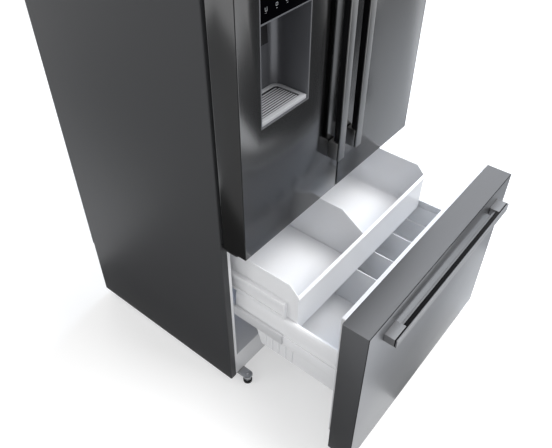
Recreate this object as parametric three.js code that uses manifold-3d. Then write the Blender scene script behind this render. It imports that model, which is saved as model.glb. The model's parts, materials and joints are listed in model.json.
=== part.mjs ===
// A free-standing bottom freezer refrigerator: two hinged doors over one pull-out freezer drawer.
//
// Millimetres, +Z up, the front faces -Y. Pieces are drawn with Y measured from the front plane of
// the closed doors, X from the middle of the case and Z from the floor. The drawer is drawn pulled
// out, and the whole model is moved at the end so that the middle of its box is at X = Y = 0.

import * as THREE from 'three';
import { mergeVertices } from 'three/addons/utils/BufferGeometryUtils.js';
import Module from 'manifold-3d';

const wasm = await Module();
wasm.setup();

// ---------------------------------------------------------------- driving dimensions

const FIT = 0.3; // gap left between pieces that seat on each other
const RUN = 0.4; // running gap between sliding members
const PAST = 1; // how far a cutting tool runs past the face that it cuts
const BITE = 1; // how far a part of a moulding runs into the part that it grows from

// case
const WIDTH = 908;
const CASE_DEPTH = 732;
const CASE_BOTTOM = 36;
const CASE_TOP = 1750;
const STEEL = 2; // thickness of the painted case and of the liners
const CASE_FLANGE = 26; // painted edge that the door seals press on
const WALL = 38; // outside of the case to the inside of a liner
const CASE_EDGE_RADIUS = 4;
const BACK_FOAM = 63;
const TOP_FIELD_RISE = 1.5; // pressed field that stiffens the top panel
const TOP_FIELD_EDGE = 24;
const TOP_FIELD_RADIUS = 20;

// compartments
const FREEZER_FLOOR = 150;
const FREEZER_HEIGHT = 540;
const RAIL_HEIGHT = 54;
const LINER_FLANGE = 13;
const LINER_CORNER = 22;
const FREEZER_BACK_FOAM = 83;
const MACHINE_DEPTH = 231; // machine room behind the freezer's step
const MACHINE_TOP = 300;
const STEP_RUN = 50;
const STEP_WALL = 30; // foam between the machine room and the freezer
const SILL_LIFT = 6;
const DUCT_WIDTH = 150; // cold air duct on the fridge's back wall
const DUCT_DEPTH = 16;
const DUCT_CHAMFER = 12;
const DUCT_GAP = 40; // duct to the fridge's floor and ceiling
const OUTLET_WIDTH = 74;
const OUTLET_HEIGHT = 7;
const OUTLET_PITCH = 13;
const OUTLET_ROWS = [480, 790]; // heights of the air outlets above the fridge's floor
const LOUVRE_COUNT = 9;
const LOUVRE_PITCH = 22;
const LOUVRE_HEIGHT = 8;
const LOUVRE_LENGTH = 150;
const COVER_INSET = 18; // case back to the machine room's cover
const GLAND = { fromSide: 59, z: 92, radius: 13, bore: 5, length: 12 };
const WATER_INLET = { fromSide: 59, z: 92, radius: 12, bore: 8, length: 15 };

// doors and drawer front
const DOOR_THICKNESS = 87;
const SEAL_GAP = 14;
const DOOR_RAIL_LAP = 20; // a door's lower edge to the rail's top
const DRAWER_RAIL_LAP = 14; // the drawer's top to the rail's underside
const DOOR_TOP_DROP = 4; // case top to a door's top
const DOOR_SPLIT = 5; // slit between the two doors
const DOOR_EDGE_RADIUS = 3;
const DRAWER_BOTTOM = 58;
const DRAWER_OPEN = 425;
const SKIN = 1.5; // steel sheet of a door
const PANEL_INSET = 14; // width of the steel edge turned in behind a door
const RAISED_EDGE = 84; // case side to the raised field inside the drawer front
const RAISED_BORDER = 57; // drawer's top to the raised field
const RAISED_HEIGHT = 470;
const RAISED_DEPTH = 5;
const RAISED_RADIUS = 16;
const SEAL_WIDTH = 18;
const SEAL_BASE = 5;
const SEAL_LIP = 12;
const SEAL_RADIUS = 5;
const SEAL_EDGE = 16; // door side to the outside of its seal
const SEAL_LAP = 4; // a door's top and lower edge to its seal
const SEAL_SPLIT_EDGE = 3.5; // a door's meeting edge to its seal
const DRAWER_SEAL_LAP = 1; // the drawer's top to its seal
const DRAWER_SEAL_DROP = 30; // freezer floor to the lower edge of the drawer's seal

// hinges
const HINGE_X = 16; // case side to the pin
const HINGE_Y = 50; // door front to the pin
const PIN_RADIUS = 5;
const PIN_HOLE_RADIUS = 5.6;
const PIN_LENGTH = 20;
const HINGE_PLATE = 5;
const HINGE_SIDE = 4; // case side to a hinge plate
const HINGE_CORNER = 7;
const TOP_HINGE_WIDTH = 40;
const TOP_HINGE_END = 190;
const PIN_LAND = 13; // pin to the rim of its plate
const MIDDLE_HINGE_WIDTH = 36;
const MIDDLE_HINGE_LIFT = 7; // drawer's top to the middle hinge
const HINGE_TAB = { width: 56, thickness: 4, height: 20, below: 6 };
const WASHER_RIM = 4;
const HINGE_COVER = { width: 61, front: 22, end: 220, height: 32, wall: 2.5, side: 1, radius: 12 };
const COVER_END_WALL = 6.5;

// handles: a flat plate over a narrower spine, on two posts
const HANDLE_PROJECTION = 42;
const HANDLE_WIDTH = 30;
const HANDLE_PLATE = 9;
const HANDLE_SPINE_WIDTH = 14;
const HANDLE_SPINE_DEPTH = 15;
const HANDLE_POST = 46;
const HANDLE_EDGE_RADIUS = 2;
const DOOR_HANDLE_EDGE = 30; // door's meeting edge to the handle
const DOOR_HANDLE_LIFT = 150; // door's lower edge to the handle
const DOOR_HANDLE_DROP = 139; // door's top to the handle
const DRAWER_HANDLE_END = 84; // drawer side to the handle's end
const DRAWER_HANDLE_DROP = 56; // drawer top to the handle's top

// ice and water dispenser in the left door
const NICHE_LEFT = 84; // case side to the niche
const NICHE_WIDTH = 190;
const NICHE_DEPTH = 114;
const NICHE_LIFT = 411; // door's lower edge to the niche's floor
const NICHE_HEIGHT = 266;
const NICHE_CORNER = 28;
const CONTROL_HEIGHT = 130;
const CONTROL_THICKNESS = 12;
const CONTROL_RADIUS = 4;
const HOUSING_WALL = 4;
const HOUSING_BACK = 13;
const HOUSING_JACKET = 5; // wall of the inner panel round the housing
const PADDLE_WIDTH = 48;
const PADDLE_LENGTH = 92;
const PADDLE_NECK = 20; // pin to the bend
const PADDLE_KNEE = 30; // foot to the lower bend
const PADDLE_Y = 80;
const PADDLE_SET_BACK = 8; // paddle's foot to its pin
const PADDLE_SHEET = 4;
const PADDLE_PIN_DROP = 12; // niche ceiling to the paddle's pin
const PADDLE_PIN_RADIUS = 3;
const PADDLE_PIN_END = 6;
const CHEEK_GAP = 2;
const CHEEK_WIDTH = 5;
const CHEEK_REACH = 8;
const CHUTE = { front: 24, depth: 44, width: 68, height: 14, wall: 5, radius: 10 };
const TRAY_GAP = 2;
const DRIP_TRAY_HEIGHT = 12;
const DRIP_TRAY_FLOOR = 3;
const DRIP_TRAY_FRONT = 3;
const DRIP_RIM = 22;
const DRIP_SLOTS = 8;
const DRIP_SLOT_SHARE = 0.56; // slot width as a share of the pitch
const DRIP_BORDER = 19;
const DRIP_CORNER_TRIM = 12;

// inside the doors
const DIKE_EDGE = 50; // case side to the raised rim inside a door
const DIKE_INNER_EDGE = 34; // middle of the case to the rim
const DIKE_DEPTH = 63;
const DIKE_WALL = 14;
const DIKE_CLEAR = 6; // liner's floor and ceiling to the rim
const DIKE_RADIUS = 10;
const BIN_DEPTH = 108;
const BIN_HEIGHT = 96;
const BIN_WALL = 3;
const BIN_LEAN = 4; // how far a door bin's front leans out
const BIN_FOOT_CUT = 10;
const LUG = { width: 6, height: 8 };
const FLAP_THICKNESS = 17.5;
const FLAP_WIDTH = 49;
const FLAP_EDGE = 11; // middle of the case to the folded flap
const FLAP_PIN_RADIUS = 3;
const FLAP_END = 16; // end of the raised rim to the flap's ear
const FLAP_EAR = 10;
const FLAP_EAR_REACH = 7;
const BIN_LEVELS = { '-1': [70], 1: [110, 520] }; // above the fridge's floor

// fridge shelves and crispers
const SHELF_FRONT = 215;
const SHELF_BACK = 745;
const SHELF_THICKNESS = 6;
const SHELF_TRIM = 12;
const SHELF_NOSE = 6; // front trim ahead of the shelf
const SHELF_STOP = 14; // rim along the shelf's back
const LEDGE_REACH = 9;
const LEDGE_HEIGHT = 8;
const CRISPER_SPACE = 230;
const SHELF_SPACE = 340;
const CRISPER_FRONT = 268;
const CRISPER_BACK = 700;
const CRISPER_DROP = 15; // crisper cover to the crisper's rim
const CRISPER_GAP = 3;
const CRISPER_BROW = 60; // height of the upright part of a crisper's front
const CRISPER_LEAN = 10;
const CRISPER_FOOT = 18;
const CRISPER_FOOT_HEIGHT = 20;
const CRISPER_GRIP = { width: 120, reach: 12, height: 18, drop: 4 };
const CENTRE_POST = 10;

// freezer drawer: side frames, slides, bin and dividers
const LEDGE_TOP = 496;
const SIDE_FACE = 51; // case side to the outside of a side frame
const SIDE_LENGTH = 438;
const SIDE_HEIGHT = 130;
const SIDE_SHEET = 4;
const SHOULDER_HEIGHT = 43;
const SHOULDER_SET_IN = 11;
const SIDE_HOLE_RADIUS = 3;
const SIDE_HOLES = [[34, 12], [34, 74]]; // from the front end, above the frame's lower edge
const SIDE_BRACKET = { reach: 24, thickness: 3, lift: 2 };
const SLIDE_HEIGHT = 47;
const SLIDE_LIFT = 13; // side frame's lower edge to the slide
const SLIDE_SET_BACK = 9; // case front to the outer slide
const SLIDE_LENGTH = 450;
const SLIDE_SHEET = 1.7;
const SLIDE_OUTER_GAP = 1.2; // outer slide to the side frame
const SLIDE_MIDDLE_GAP = 1.6;
const SLIDE_SHORTER = 10; // by how much the middle slide is shorter
const INNER_RAIL = 5.4; // depth of the rail on the side frame
const BIN_SIDE_HEIGHT = 190;
const BIN_RIM_GAP = 6; // bin's rim to the tray over it
const BIN_FRONT_GAP = 8; // drawer's inside to the bin
const BIN_LENGTH = 360;
const BIN_BACK_SLOPE = 31;
const BIN_CORNER = 18;
const LIP_WIDTH = 8; // side frame's lip that carries the bin
const RIB_COUNT = 6;
const RIB_PITCH = 28;
const RIB_WIDTH = 7;
const RIB_DEPTH = 4.5;
const RIB_LIFT = 24;
const LAST_RIB_LIFT = 70;
const DIVIDER_THICKNESS = 3.5;
const BIN_DIVIDER_DROP = 5;
const BIN_DIVIDERS = { left: 419, centre: 532, right: 659 }; // from the left side of the case

// upper tray
const TRAY_SIDE = 68.5; // case side to the tray's wall
const TRAY_FRONT = -148;
const TRAY_LENGTH = 428;
const TRAY_SINK = 35; // ledge top to the tray's underside
const TRAY_HEIGHT = 190;
const TRAY_FRONT_HEIGHT = 153;
const TRAY_CHAMFER = 38;
const TRAY_WALL = 3;
const TRAY_CORNER = 14;
const TRAY_LIP = 4;
const TRAY_LIP_HEIGHT = 14;
const TRAY_RUNNER_LENGTH = 333;
const TRAY_RUNNER_SETBACK = 45;
const TRAY_RUNNER_HEIGHT = 72;
const RUNNER_GROOVE = { depth: 5, start: 8, low: 14, high: 16 };
const TRAY_DIVIDER_X = -14;
const TRAY_DIVIDER_RISE = 13; // divider's top over the tray's rim
const TRAY_DIVIDER_CHAMFER = 96;
const TRAY_DIVIDER_NOSE = 8;

// feet and rollers
const FOOT_X = 53; // case side to a front foot
const FOOT_Y = 68;
const FOOT_RADIUS = 17;
const FOOT_PAD_HEIGHT = 13;
const FOOT_CHAMFER = 3;
const FOOT_NUT_RADIUS = 14;
const FOOT_STUD = 5;
const STUD_LENGTH = 16;
const ROLLER_RADIUS = 22;
const ROLLER_WIDTH = 26;
const ROLLER_X = 60;
const ROLLER_INSET = 43; // case back to the roller's axle
const ROLLER_WELL = 2; // roller to the rim of the hole that it stands in
const BASE_SHEET = 3;
const FORK_GAP = 1; // roller to the cheeks of its fork
const CHEEK = 3;
const CHEEK_LENGTH = 32;
const CHEEK_DROP = 9; // axle to a cheek's lower edge
const AXLE_RADIUS = 4;
const AXLE_HOLE_RADIUS = 4.5;
const BRACKET_WIDTH = 38;

// cooling
const COMPRESSOR = {
  fromSide: 214, fromBack: 118, radius: 78, height: 176, joint: 4, jointHeight: 6, lift: 3,
};
const COMPRESSOR_PLATE = { reach: 17, set: 6, thickness: 4, corner: 16 };
const RUBBER_MOUNT = { radius: 11, height: 8, inset: 22 };
const DISCHARGE = { radius: 4, reach: 20, start: 60, bend: 96, end: 150 };
const CONDENSER = { fromSide: 44, length: 280, fromBack: 183, depth: 150, rows: 6, z: 150, radius: 4 };
const STAY = { inset: 40, reach: 10, lap: 2, cap: 3 };
const FAN_GAP = 90; // fan's middle to the condenser
const FAN_BACK = 118; // case back to the fan's middle
const FAN_Z = 165;
const FAN_RADIUS = 70;
const MOTOR = { radius: 22, front: 62, end: 22 };
const MOTOR_POST = { front: 56, end: 50, width: 60 };
const SHAFT_RADIUS = 3;
const FAN_HUB = 0.3; // hub's radius as a share of the fan's
const FAN_DEPTH = 0.32; // hub's length as a share of the fan's radius
const BLADES = 5;
const BLADE = 2.4;
const BLADE_PITCH = 52; // degrees
const COVER_DEPTH = 38; // front of the evaporator's cover to the freezer's back
const COVER_SHEET = 3;
const COVER_GRILLE = { width: 92, height: 6, pitch: 13, count: 7 };
const COVER_RETURN = { width: 28, height: 8, pitch: 44, count: 9, lift: 12 };
const FAN_ARM = { reach: 60, width: 8, height: 16, thickness: 5, boss: 14, bossDepth: 9 };
const EVAPORATOR = {
  reach: 230, lift: 15, height: 175, margin: 20, passes: 4, radius: 4, fins: 9, fin: 1.4,
};
const COLD_FAN_DROP = 90; // freezer ceiling to the evaporator's fan
const COLD_FAN_RADIUS = 48;
const COLD_FAN_GAP = 12;

// ---------------------------------------------------------------- derived planes

const H = WIDTH / 2;
const CASE_FRONT = DOOR_THICKNESS + SEAL_GAP;
const CASE_BACK = CASE_FRONT + CASE_DEPTH;
const CASE_INNER_BACK = CASE_BACK - STEEL;
const LINER_X = H - WALL;
const FLANGE_X = H - CASE_FLANGE;
const BASE_TOP = CASE_BOTTOM + BASE_SHEET;
const MACHINE_FRONT = CASE_BACK - MACHINE_DEPTH;

// the stack from the freezer up to the top
const FREEZER_CEILING = FREEZER_FLOOR + FREEZER_HEIGHT;
const FREEZER_BACK = CASE_BACK - FREEZER_BACK_FOAM;
const RAIL_BOTTOM = FREEZER_CEILING + LINER_FLANGE;
const RAIL_TOP = RAIL_BOTTOM + RAIL_HEIGHT;
const FRIDGE_FLOOR = RAIL_TOP + LINER_FLANGE;
const FRIDGE_CEILING = CASE_TOP - WALL;
const FRIDGE_BACK = CASE_BACK - BACK_FOAM;
const DOOR_BOTTOM = RAIL_TOP - DOOR_RAIL_LAP;
const DOOR_TOP = CASE_TOP - DOOR_TOP_DROP;
const DRAWER_TOP = RAIL_BOTTOM + DRAWER_RAIL_LAP;
const DRAWER_FRONT = -DRAWER_OPEN;
const DRAWER_BACK = DRAWER_FRONT + DOOR_THICKNESS;
const MIDDLE_HINGE_Z = DRAWER_TOP + MIDDLE_HINGE_LIFT;
const SEAL_BACK = SEAL_GAP - FIT;
const DOOR_SEAL = [DOOR_BOTTOM + SEAL_LAP, DOOR_TOP - SEAL_LAP];
const DRAWER_SEAL = [FREEZER_FLOOR - DRAWER_SEAL_DROP, DRAWER_TOP - DRAWER_SEAL_LAP];
const SEAL_INNER = DOOR_SPLIT / 2 + SEAL_SPLIT_EDGE;
const RAISED_TOP = DRAWER_TOP - RAISED_BORDER;
const DIKE_BOTTOM = FRIDGE_FLOOR + DIKE_CLEAR;
const DIKE_TOP = FRIDGE_CEILING - DIKE_CLEAR;
const DOOR_HANDLE = [DOOR_BOTTOM + DOOR_HANDLE_LIFT, DOOR_TOP - DOOR_HANDLE_DROP];

// the dispenser
const NICHE_X = -H + NICHE_LEFT;
const NICHE_MIDDLE = NICHE_X + NICHE_WIDTH / 2;
const NICHE_BOTTOM = DOOR_BOTTOM + NICHE_LIFT;
const NICHE_TOP = NICHE_BOTTOM + NICHE_HEIGHT;
const HOUSING_END = NICHE_DEPTH + HOUSING_BACK;
const PANEL_BOTTOM = NICHE_TOP + HOUSING_WALL;
const PANEL_TOP = PANEL_BOTTOM + CONTROL_HEIGHT;
const PADDLE_HINGE_Z = NICHE_TOP - PADDLE_PIN_DROP;
const PADDLE_HINGE_Y = PADDLE_Y + PADDLE_SET_BACK;
const PADDLE_BOTTOM = PADDLE_HINGE_Z - PADDLE_LENGTH;

// the folding flap
const FLAP_RADIUS = FLAP_THICKNESS / 2;
const FLAP_X = -FLAP_EDGE - FLAP_RADIUS;
const FLAP_Y = CASE_FRONT + FIT + FLAP_RADIUS;
const FLAP_BOTTOM = DIKE_BOTTOM + FLAP_END;
const FLAP_TOP = DIKE_TOP - FLAP_END;

// shelves and crispers
const CRISPER_COVER_Z = FRIDGE_FLOOR + CRISPER_SPACE;
const SHELF_LEVELS = [CRISPER_COVER_Z, CRISPER_COVER_Z + SHELF_SPACE];

// what rides on the drawer
const SIDE_BOTTOM = LEDGE_TOP - SIDE_HEIGHT;
const SHOULDER_BOTTOM = LEDGE_TOP - SHOULDER_HEIGHT;
const SLIDE_BOTTOM = SIDE_BOTTOM + SLIDE_LIFT;
const SLIDE_TOP = SLIDE_BOTTOM + SLIDE_HEIGHT;
const SLIDE_START = CASE_FRONT + SLIDE_SET_BACK;
const INNER_RAIL_INSET = 2 * (SLIDE_SHEET + RUN);
const TRAY_X = H - TRAY_SIDE;
const TRAY_BACK = TRAY_FRONT + TRAY_LENGTH;
const TRAY_FLOOR_Z = LEDGE_TOP - TRAY_SINK;
const TRAY_TOP = TRAY_FLOOR_Z + TRAY_HEIGHT;
const TRAY_FRONT_TOP = TRAY_FLOOR_Z + TRAY_FRONT_HEIGHT;
const TRAY_DIVIDER_TOP = TRAY_TOP + TRAY_DIVIDER_RISE;
const BIN_RIM_Z = TRAY_FLOOR_Z - BIN_RIM_GAP;
const BIN_FLOOR_Z = BIN_RIM_Z - BIN_SIDE_HEIGHT;
const BIN_DIVIDER_TOP = BIN_RIM_Z - BIN_DIVIDER_DROP;
const BIN_UPPER_X = H - SIDE_FACE - SIDE_SHEET - FIT;
const BIN_LOWER_X = BIN_UPPER_X - LIP_WIDTH;
const BIN_STEP_Z = SIDE_BOTTOM + SIDE_SHEET + FIT;
const BIN_FRONT = DRAWER_BACK + BIN_FRONT_GAP;
const BIN_BACK = BIN_FRONT + BIN_LENGTH;

// cooling
const ROLLER_Y = CASE_BACK - ROLLER_INSET;
const COMPRESSOR_X = -H + COMPRESSOR.fromSide;
const COMPRESSOR_Y = CASE_BACK - COMPRESSOR.fromBack;
const CONDENSER_X = H - CONDENSER.fromSide - CONDENSER.length;
const CONDENSER_Y = CASE_BACK - CONDENSER.fromBack;
const FAN_X = CONDENSER_X - FAN_GAP;
const FAN_Y = CASE_BACK - FAN_BACK;
const COVER_Y = FREEZER_BACK - COVER_DEPTH;
const COLD_FAN_Z = FREEZER_CEILING - COLD_FAN_DROP;
const COVER_BOTTOM = MACHINE_TOP + STEP_WALL + FIT;
const COVER_BACK = FREEZER_BACK - FIT;

// ---------------------------------------------------------------- finishes

const finish = (color, roughness, metalness) =>
  new THREE.MeshStandardMaterial({ color, roughness, metalness });
const DARK_STAINLESS = finish(0x5c5d60, 0.35, 0.8);
const CASE_PAINT = finish(0x444547, 0.6, 0.1);
const HANDLE_METAL = finish(0x1c1c1e, 0.3, 0.8);
const WHITE_PLASTIC = finish(0xe9eaee, 0.4, 0);
const CLEAR_PLASTIC = finish(0xdfe6ea, 0.15, 0);
const GREY_PLASTIC = finish(0x9a9ca0, 0.4, 0.2);
const BLACK_PLASTIC = finish(0x101012, 0.4, 0);
const BLACK_GLASS = finish(0x08080a, 0.08, 0);
const SEAL_RUBBER = finish(0x24252a, 0.8, 0);
const ZINC = finish(0xb4b6b8, 0.4, 0.9);
const COPPER = finish(0xb0653a, 0.35, 0.9);
const FOAM = finish(0xe6d8a8, 0.9, 0);

// ---------------------------------------------------------------- solids

const spread = (a, b) => (a < b ? [a, b] : [b, a]);
const mirrored = (side, a, b) => spread(side * a, side * b);

function solidFrom(geometry) {
  const bare = geometry.index ? geometry : mergeVertices(geometry);
  bare.deleteAttribute('normal');
  bare.deleteAttribute('uv');
  const welded = mergeVertices(bare, 1e-4);
  return new wasm.Manifold(new wasm.Mesh({
    numProp: 3,
    vertProperties: new Float32Array(welded.attributes.position.array),
    triVerts: new Uint32Array(welded.index.array),
  }));
}

function block([x0, x1], [y0, y1], [z0, z1]) {
  const geometry = new THREE.BoxGeometry(x1 - x0, y1 - y0, z1 - z0);
  geometry.translate((x0 + x1) / 2, (y0 + y1) / 2, (z0 + z1) / 2);
  return solidFrom(geometry);
}

function outline(points) {
  const shape = new THREE.Shape();
  points.forEach(([u, v], i) => (i ? shape.lineTo(u, v) : shape.moveTo(u, v)));
  return shape;
}

function roundRect([u0, u1], [v0, v1], radius) {
  const shape = new THREE.Shape();
  shape.moveTo(u0 + radius, v0);
  shape.lineTo(u1 - radius, v0);
  shape.absarc(u1 - radius, v0 + radius, radius, -Math.PI / 2, 0);
  shape.lineTo(u1, v1 - radius);
  shape.absarc(u1 - radius, v1 - radius, radius, 0, Math.PI / 2);
  shape.lineTo(u0 + radius, v1);
  shape.absarc(u0 + radius, v1 - radius, radius, Math.PI / 2, Math.PI);
  shape.lineTo(u0, v0 + radius);
  shape.absarc(u0 + radius, v0 + radius, radius, Math.PI, Math.PI * 1.5);
  return shape;
}

const AXES = {
  // where the drawing's U, V and the extrusion go; along Y the extrusion runs backwards
  x: new THREE.Matrix4().makeBasis(
    new THREE.Vector3(0, 1, 0), new THREE.Vector3(0, 0, 1), new THREE.Vector3(1, 0, 0)),
  y: new THREE.Matrix4().makeBasis(
    new THREE.Vector3(1, 0, 0), new THREE.Vector3(0, 0, 1), new THREE.Vector3(0, -1, 0)),
  z: new THREE.Matrix4(),
};

function extrude(axis, shape, [from, to], curveSegments = 2) {
  const geometry = new THREE.ExtrudeGeometry(shape, {
    depth: to - from, bevelEnabled: false, curveSegments, steps: 1,
  });
  geometry.applyMatrix4(AXES[axis]);
  if (axis === 'x') geometry.translate(from, 0, 0);
  if (axis === 'y') geometry.translate(0, to, 0);
  if (axis === 'z') geometry.translate(0, 0, from);
  return solidFrom(geometry);
}

function rod(axis, [x, y, z], radius, [from, to], sides = 16) {
  const geometry = new THREE.CylinderGeometry(radius, radius, to - from, sides);
  if (axis === 'x') geometry.rotateZ(-Math.PI / 2);
  if (axis === 'z') geometry.rotateX(Math.PI / 2);
  const middle = (from + to) / 2;
  geometry.translate(
    axis === 'x' ? middle : x, axis === 'y' ? middle : y, axis === 'z' ? middle : z);
  return solidFrom(geometry);
}

function turned(profile, [x, y, z], sides = 24) {
  const points = profile.map(([radius, height]) => new THREE.Vector2(radius, height));
  const geometry = new THREE.LatheGeometry(points, sides);
  geometry.rotateX(Math.PI / 2);
  geometry.translate(x, y, z);
  return solidFrom(geometry);
}

const polygon = (radius, sides) => outline(Array.from({ length: sides }, (_, i) => {
  const angle = ((i + 0.5) / sides) * Math.PI * 2;
  return [radius * Math.cos(angle), radius * Math.sin(angle)];
}));

const along = (path, radius, sides, steps) => solidFrom(new THREE.ExtrudeGeometry(
  polygon(radius, sides), { extrudePath: path, steps, bevelEnabled: false }));

function tube(points, radius, sides, steps) {
  return along(new THREE.CatmullRomCurve3(
    points.map(([x, y, z]) => new THREE.Vector3(x, y, z))), radius, sides, steps);
}

// The half circle that joins two straight passes of a coil.
class ReturnBend extends THREE.Curve {
  constructor(from, to, outward) {
    super();
    this.middle = from.clone().add(to).multiplyScalar(0.5);
    this.arm = from.clone().sub(this.middle);
    this.outward = outward.clone().multiplyScalar(this.arm.length());
  }

  getPoint(t, target = new THREE.Vector3()) {
    return target.copy(this.middle).addScaledVector(this.arm, Math.cos(Math.PI * t))
      .addScaledVector(this.outward, Math.sin(Math.PI * t));
  }
}

const COIL_SIDES = 6;
const BEND_STEPS = 5;

// Straight passes along X at the given [y, z] places, joined at alternate ends.
function serpentine([x0, x1], rows, radius) {
  const parts = rows.map(([y, z]) => rod('x', [0, y, z], radius,
    [x0 - BITE / 2, x1 + BITE / 2], COIL_SIDES));
  for (let i = 1; i < rows.length; i += 1) {
    const right = i % 2 === 1;
    const x = right ? x1 : x0;
    const bend = new ReturnBend(new THREE.Vector3(x, ...rows[i - 1]),
      new THREE.Vector3(x, ...rows[i]), new THREE.Vector3(right ? 1 : -1, 0, 0));
    parts.push(along(bend, radius, COIL_SIDES, BEND_STEPS));
  }
  return fuse(...parts);
}

const fuse = (first, ...rest) => rest.reduce((sum, part) => sum.add(part), first);
const cut = (first, ...rest) => rest.reduce((left, part) => left.subtract(part), first);

// ---------------------------------------------------------------- scene graph

const refrigerator = new THREE.Group();

function assembly(parent, pivot) {
  const group = new THREE.Group();
  const origin = parent.userData.origin ?? [0, 0, 0];
  group.position.set(pivot[0] - origin[0], pivot[1] - origin[1], pivot[2] - origin[2]);
  group.userData.origin = pivot;
  parent.add(group);
  return group;
}

function place(parent, name, solid, material) {
  const mesh = solid.getMesh();
  const geometry = new THREE.BufferGeometry();
  geometry.setAttribute('position', new THREE.BufferAttribute(mesh.vertProperties, 3));
  geometry.setIndex(new THREE.BufferAttribute(mesh.triVerts, 1));
  const [x, y, z] = parent.userData.origin ?? [0, 0, 0];
  geometry.translate(-x, -y, -z);
  geometry.computeVertexNormals();
  const node = new THREE.Mesh(geometry, material);
  node.name = name;
  parent.add(node);
  return node;
}

// ---------------------------------------------------------------- case

function outerCasing() {
  const shell = extrude('z', roundRect([-H, H], [CASE_FRONT, CASE_INNER_BACK], CASE_EDGE_RADIUS),
    [CASE_BOTTOM, CASE_TOP]);
  const inside = block([-H + STEEL, H - STEEL], [CASE_FRONT + STEEL, CASE_BACK + PAST],
    [CASE_BOTTOM - PAST, CASE_TOP - STEEL]);
  const mouth = block([-FLANGE_X, FLANGE_X], [CASE_FRONT - PAST, CASE_FRONT + STEEL + PAST],
    [CASE_BOTTOM - PAST, CASE_TOP - CASE_FLANGE]);
  return cut(fuse(shell, topField(0)), inside, mouth, topField(STEEL));
}

// The pressed field behind the hinge covers; its inside is smaller by the thickness of the sheet.
function topField(inset) {
  const edge = TOP_FIELD_EDGE + inset;
  return extrude('z', roundRect([-H + edge, H - edge],
    [HINGE_COVER.end + edge, CASE_BACK - edge], TOP_FIELD_RADIUS - inset),
  [CASE_TOP - STEEL - inset, CASE_TOP + TOP_FIELD_RISE - inset], 4);
}

const fridgeOutline = (grow) => roundRect([-LINER_X - grow, LINER_X + grow],
  [FRIDGE_FLOOR - grow, FRIDGE_CEILING + grow], LINER_CORNER + grow);

function fridgeLiner() {
  const flange = block([-FLANGE_X, FLANGE_X], [CASE_FRONT, CASE_FRONT + STEEL],
    [RAIL_TOP, CASE_TOP - CASE_FLANGE]);
  const shell = extrude('y', fridgeOutline(STEEL), [CASE_FRONT, FRIDGE_BACK + STEEL], 4);
  const hollow = extrude('y', fridgeOutline(0), [CASE_FRONT - PAST, FRIDGE_BACK], 4);
  const ledges = [];
  for (const level of SHELF_LEVELS) {
    for (const side of [-1, 1]) {
      ledges.push(block(mirrored(side, LINER_X - LEDGE_REACH, LINER_X + STEEL / 2),
        [SHELF_FRONT, SHELF_BACK], [level - LEDGE_HEIGHT, level]));
    }
  }
  return fuse(cut(fuse(shell, flange), hollow), airDuct(), ...ledges);
}

// Cold air duct moulded on the fridge's back wall, with a grille at each row of outlets.
function airDuct() {
  const half = DUCT_WIDTH / 2;
  const front = FRIDGE_BACK - DUCT_DEPTH;
  const section = outline([
    [-half - DUCT_CHAMFER, FRIDGE_BACK + BITE], [-half, front], [half, front],
    [half + DUCT_CHAMFER, FRIDGE_BACK + BITE],
  ]);
  const duct = extrude('z', section, [FRIDGE_FLOOR + DUCT_GAP, FRIDGE_CEILING - DUCT_GAP]);
  const outlets = [];
  for (const row of OUTLET_ROWS) {
    for (const step of [-1, 0, 1]) {
      const z = FRIDGE_FLOOR + row + step * OUTLET_PITCH;
      outlets.push(block([-OUTLET_WIDTH / 2, OUTLET_WIDTH / 2],
        [front - PAST, FRIDGE_BACK - BITE], [z - OUTLET_HEIGHT / 2, z + OUTLET_HEIGHT / 2]));
    }
  }
  return cut(duct, ...outlets);
}

// The freezer's inside seen from the side, with the step over the machine room.
function freezerSide(grow, front) {
  const stepTop = MACHINE_TOP + STEP_WALL - grow;
  const stepFoot = MACHINE_FRONT - STEP_RUN - STEP_WALL + grow;
  return outline([
    [front, FREEZER_FLOOR - grow], [stepFoot, FREEZER_FLOOR - grow],
    [stepFoot + STEP_RUN, stepTop], [FREEZER_BACK + grow, stepTop],
    [FREEZER_BACK + grow, FREEZER_CEILING + grow], [front, FREEZER_CEILING + grow],
  ]);
}

function freezerLiner() {
  const flange = block([-FLANGE_X, FLANGE_X], [CASE_FRONT, CASE_FRONT + STEEL],
    [CASE_BOTTOM + SILL_LIFT, RAIL_BOTTOM]);
  const shell = extrude('x', freezerSide(STEEL, CASE_FRONT), [-LINER_X - STEEL, LINER_X + STEEL]);
  const hollow = extrude('x', freezerSide(0, CASE_FRONT - PAST), [-LINER_X, LINER_X]);
  return cut(fuse(shell, flange), hollow);
}

function insulation() {
  const body = fuse(block([-H + STEEL, H - STEEL], [CASE_FRONT + STEEL, CASE_INNER_BACK],
    [BASE_TOP, CASE_TOP - STEEL]), topField(STEEL));
  const machineRoom = block([-H, H], [MACHINE_FRONT, CASE_BACK], [0, MACHINE_TOP]);
  const fridge = extrude('y', fridgeOutline(STEEL + FIT),
    [CASE_FRONT, FRIDGE_BACK + STEEL + FIT], 4);
  const gap = STEEL + FIT;
  const freezer = extrude('x', freezerSide(gap, CASE_FRONT), [-LINER_X - gap, LINER_X + gap]);
  return cut(body, machineRoom, fridge, freezer);
}

function rearPanel() {
  return block([-H, H], [CASE_INNER_BACK, CASE_BACK], [MACHINE_TOP + STEEL, CASE_TOP]);
}

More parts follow.
